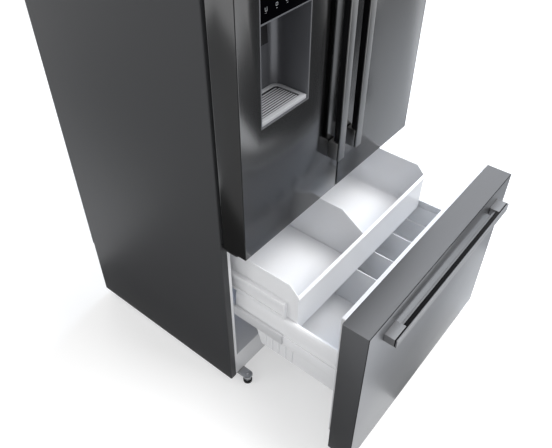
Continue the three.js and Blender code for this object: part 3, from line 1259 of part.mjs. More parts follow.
// Section across the bin, shrunk inwards by its wall for the inside.
function binSection(shrink, top) {
  const upper = BIN_UPPER_X - shrink;
  const lower = BIN_LOWER_X - shrink;
  const step = BIN_STEP_Z + shrink;
  const floor = BIN_FLOOR_Z + shrink;
  const shape = new THREE.Shape();
  shape.moveTo(-lower + BIN_CORNER, floor);
  shape.lineTo(lower - BIN_CORNER, floor);
  shape.absarc(lower - BIN_CORNER, floor + BIN_CORNER, BIN_CORNER, -Math.PI / 2, 0);
  shape.lineTo(lower, step);
  shape.lineTo(upper, step);
  shape.lineTo(upper, top);
  shape.lineTo(-upper, top);
  shape.lineTo(-upper, step);
  shape.lineTo(-lower, step);
  shape.lineTo(-lower, floor + BIN_CORNER);
  shape.absarc(-lower + BIN_CORNER, floor + BIN_CORNER, BIN_CORNER, Math.PI, Math.PI * 1.5);
  return shape;
}

// The bin seen from the side, with its sloping back.
function binSide(shrink, top) {
  return outline([
    [BIN_FRONT + shrink, BIN_FLOOR_Z + shrink],
    [BIN_BACK - BIN_BACK_SLOPE - shrink, BIN_FLOOR_Z + shrink],
    [BIN_BACK - shrink, BIN_STEP_Z], [BIN_BACK - shrink, top], [BIN_FRONT + shrink, top],
  ]);
}

function lowerBin() {
  const whole = (shrink, top) => extrude('y', binSection(shrink, top),
    [BIN_FRONT - PAST, BIN_BACK + PAST], 3)
    .intersect(extrude('x', binSide(shrink, top), [-H, H]));
  const ribs = [];
  for (const side of [-1, 1]) {
    for (let i = 0; i < RIB_COUNT; i += 1) {
      const y = BIN_BACK - BIN_BACK_SLOPE / 2 - RIB_PITCH * i;
      ribs.push(block(mirrored(side, BIN_LOWER_X - BITE, BIN_LOWER_X + RIB_DEPTH), [y - RIB_WIDTH, y],
        [BIN_FLOOR_Z + (i ? RIB_LIFT : LAST_RIB_LIFT), SIDE_BOTTOM - STEEL]));
    }
  }
  return fuse(cut(whole(0, BIN_RIM_Z), whole(BIN_WALL, BIN_RIM_Z + PAST)), ...ribs);
}

function binDivider(fromLeft) {
  const x = fromLeft - H;
  const gap = BIN_WALL + FIT;
  const side = outline([
    [BIN_FRONT + gap, BIN_FLOOR_Z + gap], [BIN_BACK - BIN_BACK_SLOPE - gap, BIN_FLOOR_Z + gap],
    [BIN_BACK - gap, BIN_STEP_Z], [BIN_BACK - gap, BIN_DIVIDER_TOP],
    [BIN_FRONT + gap, BIN_DIVIDER_TOP],
  ]);
  return extrude('x', side, [x - DIVIDER_THICKNESS / 2, x + DIVIDER_THICKNESS / 2]);
}

// ---------------------------------------------------------------- upper tray

// The tray's side: its rim falls towards the front.
const traySide = () => outline([
  [TRAY_FRONT, TRAY_FLOOR_Z], [TRAY_BACK, TRAY_FLOOR_Z], [TRAY_BACK, TRAY_TOP],
  [TRAY_FRONT + TRAY_CHAMFER, TRAY_TOP], [TRAY_FRONT, TRAY_FRONT_TOP],
]);

function trayRunner(side) {
  const y = TRAY_FRONT + TRAY_RUNNER_SETBACK;
  const z = LEDGE_TOP + FIT;
  const face = H - SIDE_FACE;
  const body = block(mirrored(side, TRAY_X - BITE, face - FIT), [y, y + TRAY_RUNNER_LENGTH],
    [z, z + TRAY_RUNNER_HEIGHT]);
  const { depth, start, low, high } = RUNNER_GROOVE;
  const groove = block(mirrored(side, face - depth, face + PAST),
    [y + start, y + TRAY_RUNNER_LENGTH + PAST], [z + low, z + TRAY_RUNNER_HEIGHT - high]);
  return cut(body, groove);
}

function upperTray() {
  const section = (shrink, top) => roundRect([-TRAY_X + shrink, TRAY_X - shrink],
    [TRAY_FLOOR_Z + shrink, top], TRAY_CORNER - shrink);
  const over = TRAY_TOP + TRAY_CORNER;
  const body = extrude('y', section(0, over), [TRAY_FRONT + TRAY_LIP, TRAY_BACK], 3)
    .intersect(extrude('x', traySide(), [-H, H]));
  const inside = extrude('y', section(TRAY_WALL, over + TRAY_CORNER),
    [TRAY_FRONT + TRAY_LIP + TRAY_WALL, TRAY_BACK - TRAY_WALL], 3);
  const lip = block([-TRAY_X, TRAY_X], [TRAY_FRONT, TRAY_FRONT + TRAY_LIP + BITE],
    [TRAY_FRONT_TOP - TRAY_LIP_HEIGHT, TRAY_FRONT_TOP]);
  return fuse(cut(fuse(body, lip), inside), trayRunner(-1), trayRunner(1));
}

function trayDivider() {
  const front = TRAY_FRONT + TRAY_LIP + TRAY_WALL + FIT;
  const back = TRAY_BACK - TRAY_WALL - FIT;
  const low = TRAY_FLOOR_Z + TRAY_WALL + FIT;
  const nose = TRAY_FRONT_TOP - TRAY_DIVIDER_NOSE;
  return extrude('x', outline([
    [front, low], [back, low], [back, TRAY_DIVIDER_TOP],
    [front + TRAY_DIVIDER_CHAMFER, TRAY_DIVIDER_TOP], [front + TRAY_DIVIDER_NOSE, nose],
    [front, nose],
  ]), [TRAY_DIVIDER_X - DIVIDER_THICKNESS / 2, TRAY_DIVIDER_X + DIVIDER_THICKNESS / 2]);
}

// ---------------------------------------------------------------- assembly

function buildCase() {
  place(refrigerator, 'outer_casing', outerCasing(), CASE_PAINT);
  place(refrigerator, 'rear_panel', rearPanel(), ZINC);
  place(refrigerator, 'compressor_cover', compressorCover(), ZINC);
  place(refrigerator, 'insulation', insulation(), FOAM);
  place(refrigerator, 'fridge_liner', fridgeLiner(), WHITE_PLASTIC);
  place(refrigerator, 'freezer_liner', freezerLiner(), WHITE_PLASTIC);
  place(refrigerator, 'centre_rail', centreRail(), CASE_PAINT);
  place(refrigerator, 'base_frame', baseFrame(), ZINC);
  place(refrigerator, 'glass_shelf', shelfPlate(SHELF_LEVELS[1]), CLEAR_PLASTIC);
  place(refrigerator, 'crisper_frame', crisperFrame(), CLEAR_PLASTIC);
  for (const [side, word] of [[-1, 'left'], [1, 'right']]) {
    place(refrigerator, `top_hinge_${word}`, topHinge(side), ZINC);
    place(refrigerator, `hinge_cover_${word}`, hingeCover(side), BLACK_PLASTIC);
    place(refrigerator, `middle_hinge_${word}`, middleHinge(side), HANDLE_METAL);
    const footX = side * (H - FOOT_X);
    place(assembly(refrigerator, [footX, FOOT_Y, 0]), `foot_${word}`, foot(footX), BLACK_PLASTIC);
    const axle = assembly(refrigerator, [side * (H - ROLLER_X), ROLLER_Y, ROLLER_RADIUS]);
    place(axle, `roller_${word}`, roller(side), BLACK_PLASTIC);
    place(refrigerator, `crisper_${word}`, crisper(side), CLEAR_PLASTIC);
  }
}

function buildCooling() {
  place(refrigerator, 'compressor', compressor(), BLACK_PLASTIC);
  place(refrigerator, 'condenser_coil', condenserCoil(), COPPER);
  place(refrigerator, 'condenser_fan', condenserFan(), BLACK_PLASTIC);
  place(refrigerator, 'evaporator_cover', evaporatorCover(), WHITE_PLASTIC);
  place(refrigerator, 'evaporator_coil', evaporatorCoil(), COPPER);
  place(refrigerator, 'evaporator_fan', evaporatorFan(), BLACK_PLASTIC);
}

function buildDoor(side, word) {
  const door = assembly(refrigerator, [side * (H - HINGE_X), HINGE_Y, DOOR_BOTTOM]);
  const isLeft = side < 0;
  const skin = isLeft ? cut(doorSkin(side), housingBlock(0, -PAST, CASE_FRONT)) : doorSkin(side);
  place(door, `${word}_door_skin`, skin, DARK_STAINLESS);
  place(door, `${word}_door_liner`, isLeft ? leftDoorLiner() : doorLiner(side), WHITE_PLASTIC);
  place(door, `${word}_door_gasket`,
    seal(mirrored(side, SEAL_INNER, H - SEAL_EDGE), DOOR_SEAL, DOOR_THICKNESS), SEAL_RUBBER);
  const near = DOOR_HANDLE_EDGE + DOOR_SPLIT / 2;
  place(door, `${word}_door_handle`,
    uprightHandle(mirrored(side, near, near + HANDLE_WIDTH), DOOR_HANDLE, 0), HANDLE_METAL);
  for (const [i, level] of binLevels(side).entries()) {
    const row = binLevels(side).length > 1 ? ['_lower', '_upper'][i] : '';
    place(door, `${word}_door_bin${row}`, doorBin(side, level), CLEAR_PLASTIC);
  }
  return door;
}

function buildDispenser(door) {
  place(door, 'dispenser_housing', dispenserHousing(), GREY_PLASTIC);
  place(door, 'control_panel', controlPanel(), BLACK_GLASS);
  const lever = assembly(door, [0, PADDLE_HINGE_Y, PADDLE_HINGE_Z]);
  place(lever, 'dispenser_paddle', dispenserPaddle(), BLACK_PLASTIC);
  place(door, 'drip_tray', dripTray(), GREY_PLASTIC);
  const flap = assembly(door, [FLAP_X, FLAP_Y, FLAP_BOTTOM]);
  place(flap, 'mullion_flap', mullionFlap(), BLACK_PLASTIC);
}

function buildDrawer() {
  const drawer = assembly(refrigerator, [0, DRAWER_BACK, DRAWER_BOTTOM]);
  place(drawer, 'drawer_skin', drawerSkin(), DARK_STAINLESS);
  place(drawer, 'drawer_inner_panel', drawerInnerPanel(), WHITE_PLASTIC);
  place(drawer, 'drawer_gasket',
    seal([-H + SEAL_EDGE, H - SEAL_EDGE], DRAWER_SEAL, DRAWER_BACK), SEAL_RUBBER);
  place(drawer, 'drawer_handle', levelHandle([-H + DRAWER_HANDLE_END, H - DRAWER_HANDLE_END],
    DRAWER_TOP - DRAWER_HANDLE_DROP, DRAWER_FRONT), HANDLE_METAL);
  for (const [side, word] of [[-1, 'left'], [1, 'right']]) {
    place(refrigerator, `slide_outer_${word}`, slideOuter(side), ZINC);
    place(refrigerator, `slide_middle_${word}`, slideMiddle(side), ZINC);
    place(drawer, `drawer_side_${word}`, drawerSide(side), WHITE_PLASTIC);
  }
  place(drawer, 'lower_bin', lowerBin(), WHITE_PLASTIC);
  for (const [word, fromLeft] of Object.entries(BIN_DIVIDERS)) {
    place(drawer, `bin_divider_${word}`, binDivider(fromLeft), WHITE_PLASTIC);
  }
  const tray = assembly(drawer, [0, TRAY_FRONT, LEDGE_TOP]);
  place(tray, 'upper_tray', upperTray(), WHITE_PLASTIC);
  place(tray, 'tray_divider', trayDivider(), WHITE_PLASTIC);
}

buildCase();
buildCooling();
buildDispenser(buildDoor(-1, 'left'));
buildDoor(1, 'right');
buildDrawer();

const frontmost = DRAWER_FRONT - HANDLE_PROJECTION;
refrigerator.position.y = -(frontmost + CASE_BACK) / 2;

export default refrigerator;
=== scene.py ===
"""Looks of a free-standing bottom freezer refrigerator, built round its fixed CAD frame.

Metres, +Z up, the front faces -Y and +X is the viewer's right. The refrigerator stands at rest
with both doors shut and its freezer drawer pulled out.
"""

from __future__ import annotations

import json
import logging
import math
from contextlib import contextmanager
from dataclasses import dataclass, field
from enum import Enum, IntEnum
from typing import Callable, Iterator, Sequence

import bmesh
import bpy
from mathutils import Matrix, Vector


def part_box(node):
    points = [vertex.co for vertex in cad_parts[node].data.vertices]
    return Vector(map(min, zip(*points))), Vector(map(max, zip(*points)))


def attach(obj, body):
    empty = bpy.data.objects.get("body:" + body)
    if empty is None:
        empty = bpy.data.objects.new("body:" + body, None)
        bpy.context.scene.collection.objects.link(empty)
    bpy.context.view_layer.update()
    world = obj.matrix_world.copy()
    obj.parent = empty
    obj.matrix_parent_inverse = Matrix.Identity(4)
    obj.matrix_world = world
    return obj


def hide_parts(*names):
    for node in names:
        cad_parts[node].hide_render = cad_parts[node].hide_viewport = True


LOG = logging.getLogger("refrigerator")
MM = 0.001
Triple = tuple[float, float, float]
Test = Callable[[Vector, Vector], bool]

UP = Vector((0, 0, 1))
FRONT = Vector((0, -1, 0))
BACK = -FRONT
RIGHT = Vector((1, 0, 0))
SIDES = ("left", "right")

BEVEL_ANGLE = math.radians(32)  # edges sharper than this get a radius
SMOOTH_ANGLE = math.radians(35)  # faces that meet flatter than this shade as one curve
FLAT_ANGLE = math.radians(0.6)  # triangles that meet flatter than this are one face
WELD = 0.01 * MM  # corners nearer than this are one corner


# ---------------------------------------------------------------- shaders


class Signal:
    """A number in a shader, whose operators add Math nodes."""

    def __init__(self, graph: "Graph", socket: bpy.types.NodeSocket) -> None:
        """Keeps the graph that owns the socket.

        Args:
            graph: The node tree being built.
            socket: The output that carries the number.
        """
        self.graph = graph
        self.socket = socket

    def _math(self, operation: str, first: "Signal | float", second: "Signal | float") -> "Signal":
        """Adds one Math node and returns its result."""
        return self.graph.node(
            "ShaderNodeMath", {"operation": operation}, {0: first, 1: second})["Value"]

    def __add__(self, other: "Signal | float") -> "Signal":
        """Sum of this number and another."""
        return self._math("ADD", self, other)

    def __sub__(self, other: "Signal | float") -> "Signal":
        """Difference of this number and another."""
        return self._math("SUBTRACT", self, other)

    def __rsub__(self, other: "Signal | float") -> "Signal":
        """Difference of another number and this one."""
        return self._math("SUBTRACT", other, self)

    def __mul__(self, other: "Signal | float") -> "Signal":
        """Product of this number and another."""
        return self._math("MULTIPLY", self, other)

    __radd__ = __add__
    __rmul__ = __mul__


class Outputs:
    """The outputs of a node, by name or number, as signals."""

    def __init__(self, graph: "Graph", node: bpy.types.Node) -> None:
        """Keeps the graph and its node."""
        self.graph = graph
        self.node = node

    def __getitem__(self, key: str | int) -> Signal:
        """The output of that name or number."""
        return Signal(self.graph, self.node.outputs[key])


class Graph:
    """The node tree of one material or of the world."""

    def __init__(self, owner: bpy.types.Material | bpy.types.World) -> None:
        """Starts an empty tree on the owner."""
        owner.use_nodes = True
        self.tree = owner.node_tree
        self.tree.nodes.clear()

    def node(self, kind: str, settings: dict | None = None, inputs: dict | None = None) -> Outputs:
        """Adds a node.

        Args:
            kind: The node's type.
            settings: Its own settings, set first.
            inputs: Values or links of its sockets, by name or number.

        Returns:
            The node's outputs.
        """
        made = self.tree.nodes.new(kind)
        for key, value in (settings or {}).items():
            setattr(made, key, value)
        for key, value in (inputs or {}).items():
            if isinstance(value, Signal):
                self.tree.links.new(value.socket, made.inputs[key])
            else:
                made.inputs[key].default_value = value
        return Outputs(self, made)


class Grain(Enum):
    """How a finish is broken up over its surface, as the noise's stretch along X, Y and Z."""

    EVEN = (1, 1, 1)
    UPRIGHT = (1, 1, 0.004)
    ACROSS = (0.004, 1, 1)


@dataclass(frozen=True)
class Finish:
    """One finish of the refrigerator, with the fine structure that its surface has."""

    slot: str
    colour: Triple
    roughness: float
    metallic: float = 0.0
    grain: Grain = Grain.EVEN
    scale: float = 900.0
    bump: float = 0.02
    unevenness: float = 0.03
    drift: float = 0.04
    specular: float = 0.5
    coat: float = 0.0
    transmission: float = 0.0
    ior: float = 1.5
    glow: float = 0.0

    def material(self) -> bpy.types.Material:
        """Builds the finish as a material.

        Returns:
            The new material.
        """
        made = bpy.data.materials.new(self.slot)
        graph = Graph(made)
        place = graph.node("ShaderNodeTexCoord")["Object"]
        stretched = graph.node(
            "ShaderNodeMapping", {"vector_type": "POINT"},
            {"Vector": place, "Scale": self.grain.value})["Vector"]
        fine = graph.node(
            "ShaderNodeTexNoise", {"noise_dimensions": "3D"},
            {"Vector": stretched, "Scale": self.scale, "Detail": 3.0, "Roughness": 0.55})[0]
        broad = graph.node(
            "ShaderNodeTexNoise", {"noise_dimensions": "3D"},
            {"Vector": place, "Scale": 3.0, "Detail": 2.0, "Roughness": 0.5})[0]
        mottle = (broad - 0.5) * self.drift + (fine - 0.5) * (self.drift * 0.6) + 0.5
        colour = graph.node(
            "ShaderNodeMix", {"data_type": "RGBA", "blend_type": "MIX"},
            {"Factor": mottle, 6: (*self._shade(1 - self.drift), 1),
             7: (*self._shade(1 + self.drift), 1)})[2]
        wear = (fine - 0.5) * self.unevenness + (broad - 0.5) * self.unevenness
        relief = graph.node(
            "ShaderNodeBump", None,
            {"Strength": 1.0, "Distance": self.bump * MM, "Height": fine})["Normal"]
        inputs = {
            "Base Color": colour, "Metallic": self.metallic, "Roughness": wear + self.roughness,
            "Normal": relief, "Specular IOR Level": self.specular, "IOR": self.ior,
            "Coat Weight": self.coat, "Coat Roughness": 0.08,
            "Transmission Weight": self.transmission,
        }
        if self.glow:
            inputs["Emission Color"] = (*self.colour, 1)
            inputs["Emission Strength"] = self.glow
        shader = graph.node("ShaderNodeBsdfPrincipled", None, inputs)["BSDF"]
        graph.node("ShaderNodeOutputMaterial", None, {"Surface": shader})
        return made

    def _shade(self, share: float) -> Triple:
        """The finish's colour, lighter or darker."""
        return tuple(min(1.0, part * share) for part in self.colour)


FINISHES = {finish.slot: finish for finish in (
    Finish("case_paint", (0.055, 0.056, 0.059), 0.5, scale=700, bump=0.05, drift=0.01,
           specular=0.25),
    Finish("dark_stainless", (0.152, 0.152, 0.153), 0.16, 1.0, Grain.UPRIGHT, 1600, 0.004, 0.07,
           0.05),
    Finish("drawer_stainless", (0.24, 0.244, 0.255), 0.38, 0.86, Grain.ACROSS, 1600, 0.006, 0.09,
           0.06, specular=0.2),
    Finish("handle_metal", (0.005, 0.005, 0.006), 0.35, 0.6, Grain.UPRIGHT, 1600, 0.004, 0.05,
           specular=0.3),
    Finish("handle_plate", (0.26, 0.26, 0.26), 0.3, 1.0, Grain.UPRIGHT, 1600, 0.003, 0.05),
    Finish("drawer_plate", (0.28, 0.282, 0.29), 0.4, 0.6, Grain.ACROSS, 1600, 0.003, 0.05,
           specular=0.2),
    Finish("zinc_steel", (0.5, 0.51, 0.53), 0.38, 0.85, scale=300, bump=0.01, drift=0.1),
    Finish("slide_zinc", (0.72, 0.725, 0.74), 0.38, 0.2, scale=300, bump=0.008, drift=0.05),
    Finish("hinge_metal", (0.03, 0.03, 0.032), 0.4, 0.3, scale=500, bump=0.02),
    Finish("white_plastic", (0.84, 0.845, 0.86), 0.34, scale=400, bump=0.01, drift=0.015, coat=0.1),
    Finish("clear_plastic", (0.93, 0.96, 0.98), 0.06, scale=200, bump=0.004, drift=0.01,
           unevenness=0.01, transmission=0.92, ior=1.3),
    Finish("shelf_glass", (0.9, 0.97, 0.95), 0.02, scale=60, bump=0.001, drift=0.01,
           unevenness=0.005, transmission=0.96, ior=1.45),
    Finish("grey_plastic", (0.12, 0.123, 0.133), 0.3, 0.5, scale=900, bump=0.008, drift=0.03),
    Finish("pale_plastic", (0.34, 0.345, 0.36), 0.35, scale=900, bump=0.01, drift=0.02),
    Finish("black_plastic", (0.007, 0.007, 0.008), 0.45, scale=900, bump=0.02, specular=0.2),
    Finish("black_glass", (0.001, 0.001, 0.0015), 0.12, scale=40, bump=0.0005, drift=0.01,
           unevenness=0.005, specular=0.015, ior=1.2),
    Finish("seal_rubber", (0.008, 0.008, 0.009), 0.62, scale=500, bump=0.03, specular=0.3),
    Finish("white_seal", (0.62, 0.62, 0.64), 0.5, scale=500, bump=0.02),
    Finish("compressor_paint", (0.01, 0.01, 0.011), 0.35, scale=500, bump=0.03, coat=0.3),
    Finish("copper_tube", (0.5, 0.24, 0.13), 0.3, 0.95, scale=300, bump=0.01, drift=0.12),
    Finish("foam", (0.62, 0.5, 0.24), 0.85, scale=250, bump=0.6, drift=0.12, specular=0.2),
    Finish("icon_white", (0.5, 0.52, 0.54), 0.4, scale=400, bump=0.001, glow=0.1),
    Finish("lamp_lens", (0.62, 0.72, 1.0), 0.3, scale=400, bump=0.01, glow=5.0),
)}


# ---------------------------------------------------------------- modelling


class Bench:
    """Hand modelling with Blender's own operators, one object at a time."""

    @staticmethod
    def pick(obj: bpy.types.Object) -> None:
        """Selects one object alone and makes it active."""
        bpy.ops.object.select_all(action="DESELECT")
        obj.select_set(True)
        bpy.context.view_layer.objects.active = obj

    @staticmethod
    def _named(name: str) -> bpy.types.Object:
        """Names the new active object and bakes its place into its mesh."""
        obj = bpy.context.object
        obj.name = name
        obj.data.name = name
        bpy.ops.object.transform_apply(location=True, rotation=True, scale=True)
        return obj

    @staticmethod
    def block(name: str, low: Sequence[float], high: Sequence[float]) -> bpy.types.Object:
        """Adds a cube that fills a box.

        Args:
            name: The object's name.
            low: Lowest corner.
            high: Highest corner.

        Returns:
            The new object.
        """
        low, high = Vector(low), Vector(high)
        bpy.ops.object.select_all(action="DESELECT")
        bpy.ops.mesh.primitive_cube_add(size=1, location=(low + high) / 2)
        bpy.context.object.scale = high - low
        return Bench._named(name)

    @staticmethod
    def disc(name: str, centre: Sequence[float], radius: float, depth: float,
             axis: Vector = UP, sides: int = 32) -> bpy.types.Object:
        """Adds a short cylinder that starts at a point and stands along an axis.

        Args:
            name: The object's name.
            centre: Middle of its foot.
            radius: Its radius.
            depth: Its length along the axis.
            axis: The way that it stands.
            sides: Its sides.

        Returns:
            The new object.
        """
        turn = UP.rotation_difference(axis).to_euler()
        bpy.ops.object.select_all(action="DESELECT")
        bpy.ops.mesh.primitive_cylinder_add(
            vertices=sides, radius=radius, depth=depth, rotation=turn,
            location=Vector(centre) + axis * (depth / 2))
        return Bench._named(name)

    @staticmethod
    def ring(name: str, centre: Sequence[float], radius: float, thickness: float,
             axis: Vector = UP) -> bpy.types.Object:
        """Adds a thin round ring about an axis."""
        turn = UP.rotation_difference(axis).to_euler()
        bpy.ops.object.select_all(action="DESELECT")
        bpy.ops.mesh.primitive_torus_add(
            major_radius=radius, minor_radius=thickness, major_segments=32, minor_segments=8,
            location=centre, rotation=turn)
        return Bench._named(name)

    @staticmethod
    @contextmanager
    def editing(obj: bpy.types.Object, mode: str) -> Iterator[None]:
        """Edits an object's mesh with nothing selected, in FACE or EDGE mode."""
        Bench.pick(obj)
        bpy.ops.object.mode_set(mode="EDIT")
        bpy.ops.mesh.select_mode(type=mode)
        bpy.ops.mesh.select_all(action="DESELECT")
        yield
        bpy.ops.object.mode_set(mode="OBJECT")

    @staticmethod
    def choose(obj: bpy.types.Object, mode: str, test: Test) -> int:
        """Selects faces or edges of the mesh in edit mode.

        Args:
            obj: The object being edited.
            mode: FACE or EDGE.
            test: Takes a face's middle and normal, or an edge's middle and direction.

        Returns:
            How many were selected.
        """
        mesh = bmesh.from_edit_mesh(obj.data)
        if mode == "FACE":
            parts = [(f, f.calc_center_median(), f.normal) for f in mesh.faces]
        else:
            parts = [(e, (e.verts[0].co + e.verts[1].co) / 2,
                      (e.verts[1].co - e.verts[0].co).normalized()) for e in mesh.edges]
        count = 0
        for part, middle, way in parts:
            chosen = test(middle, way)
            part.select_set(chosen)
            count += chosen
        mesh.select_flush_mode()
        bmesh.update_edit_mesh(obj.data)
        return count

    @staticmethod
    def sink(obj: bpy.types.Object, way: Vector, border: float, depth: float) -> bpy.types.Object:
        """Sinks the outermost face that looks one way, leaving a border round it.

        Args:
            obj: The object to shape.
            way: The face's normal.
            border: Width left round the recess.
            depth: How far the face goes in; a negative depth raises it.

        Returns:
            The same object.
        """
        reach = max(v.co.dot(way) for v in obj.data.vertices)
        with Bench.editing(obj, "FACE"):
            Bench.choose(obj, "FACE", lambda middle, normal:
                         normal.dot(way) > 0.99 and middle.dot(way) > reach - WELD)
            if border:
                bpy.ops.mesh.inset(thickness=border, use_even_offset=True)
            bpy.ops.mesh.extrude_region_move(TRANSFORM_OT_translate={"value": -way * depth})
        return obj

    @staticmethod
    def round_edges(obj: bpy.types.Object, width: float, segments: int, test: Test
                    ) -> bpy.types.Object:
        """Rounds the edges that pass a test."""
        with Bench.editing(obj, "EDGE"):
            if Bench.choose(obj, "EDGE", test):
                bpy.ops.mesh.bevel(offset=width, segments=segments, affect="EDGES",
                                   clamp_overlap=True)
        return obj

    @staticmethod
    def apply(obj: bpy.types.Object, kind: str, **settings: object) -> bpy.types.Object:
        """Adds a modifier, sets it and applies it."""
        Bench.pick(obj)
        modifier = obj.modifiers.new(kind.title(), kind)
        for key, value in settings.items():
            setattr(modifier, key, value)
        bpy.ops.object.modifier_apply(modifier=modifier.name)
        return obj

    @staticmethod
    def soften(obj: bpy.types.Object, width: float = 0.8 * MM, segments: int = 2
               ) -> bpy.types.Object:
        """Gives sharp edges a small radius and shades the curved faces smooth."""
        Bench.apply(obj, "BEVEL", width=width, segments=segments, limit_method="ANGLE",
                    angle_limit=BEVEL_ANGLE, use_clamp_overlap=True)
        Bench.pick(obj)
        bpy.ops.object.shade_smooth_by_angle(angle=SMOOTH_ANGLE)
        return obj

    @staticmethod
    def join(name: str, parts: Sequence[bpy.types.Object]) -> bpy.types.Object:
        """Joins objects into one mesh."""
        Bench.pick(parts[0])
        for part in parts:
            part.select_set(True)
        bpy.ops.object.join()
        joined = bpy.context.object
        joined.name = name
        joined.data.name = name
        return joined

    @staticmethod
    def copied(obj: bpy.types.Object, name: str, shift: Sequence[float]) -> bpy.types.Object:
        """Copies an object with a mesh of its own.

        Args:
            obj: The pattern.
            name: The copy's name.
            shift: Where the copy goes from the pattern's place.

        Returns:
            The copy.
        """
        Bench.pick(obj)
        bpy.ops.object.duplicate(linked=False)
        copy = bpy.context.object
        copy.name = name
        copy.data.name = name
        copy.location = shift
        bpy.ops.object.transform_apply(location=True, rotation=True, scale=True)
        return copy

    @staticmethod
    def from_node(node: str, name: str) -> bpy.types.Object:
        """A clean copy of a CAD node's mesh, merged and with its flat faces whole.

        Args:
            node: The CAD node.
            name: The copy's name.

        Returns:
            The copy, riding on nothing yet.
        """
        source = FRAME["nodes"][node]
        copy = bpy.data.objects.new(name, source.data.copy())
        copy.data.name = name
        bpy.context.scene.collection.objects.link(copy)
        copy.data.materials.clear()
        Bench.pick(copy)
        bpy.ops.mesh.customdata_custom_splitnormals_clear()
        with Bench.editing(copy, "FACE"):
            bpy.ops.mesh.select_all(action="SELECT")
            bpy.ops.mesh.remove_doubles(threshold=WELD)
            bpy.ops.mesh.dissolve_limited(angle_limit=FLAT_ANGLE)
        return copy


class Workshop:
    """Hands finished pieces over to the frame."""

    def __init__(self) -> None:
        """Builds each finish once."""
        self.materials = {slot: finish.material() for slot, finish in FINISHES.items()}

    def hand_over(self, obj: bpy.types.Object, body: str, finish: str,
                  replaces: Sequence[str] = ()) -> bpy.types.Object:
        """Dresses a piece and lets it ride on its body.

        Args:
            obj: The piece.
            body: The CAD body that carries it.
            finish: The name of its finish.
            replaces: The CAD nodes that it stands for.

        Returns:
            The piece.
        """
        obj.data.materials.clear()
        obj.data.materials.append(self.materials[finish])
        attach(obj, body)
        if replaces:
            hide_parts(*replaces)
        LOG.info("%s rides on %s in %s", obj.name, body, finish)
        return obj

    def refine(self, node: str, finish: str | None = None, width: float = 0.8 * MM,
               segments: int = 2) -> bpy.types.Object:
        """Puts a copy with softened edges in a CAD node's place.

        Args:
            node: The CAD node.
            finish: Its finish, or that of its slot.
            width: Radius of its edges.
            segments: Steps of each rounding.

        Returns:
            The piece.
        """
        piece = Bench.soften(Bench.from_node(node, f"{node}_formed"), width, segments)
        return self.hand_over(piece, NODE_BODY[node], finish or NODE_SLOT[node], [node])

    def dress_frame(self) -> None:
        """Gives each CAD node that still shows its finish."""
        for node, obj in FRAME["nodes"].items():
            obj.data.materials.clear()
            obj.data.materials.append(self.materials[NODE_SLOT[node]])


# ---------------------------------------------------------------- studio


@dataclass(frozen=True)
class Card:
    """A dark card that only reflections see, as a photographer lays one beside shiny metal.

    It lies on the floor with its middle at a point and its long side turned from +X.
    """

    name: str
    middle: tuple[float, float]
    size: tuple[float, float]
    turn: float
    shade: float


@dataclass(frozen=True)
class Lamp:
    """A square soft lamp that hangs at a place and looks at a target."""

    name: str
    place: Triple
    target: Triple
    power: float
    colour: Triple = (1, 1, 1)
    size: float = 2.4


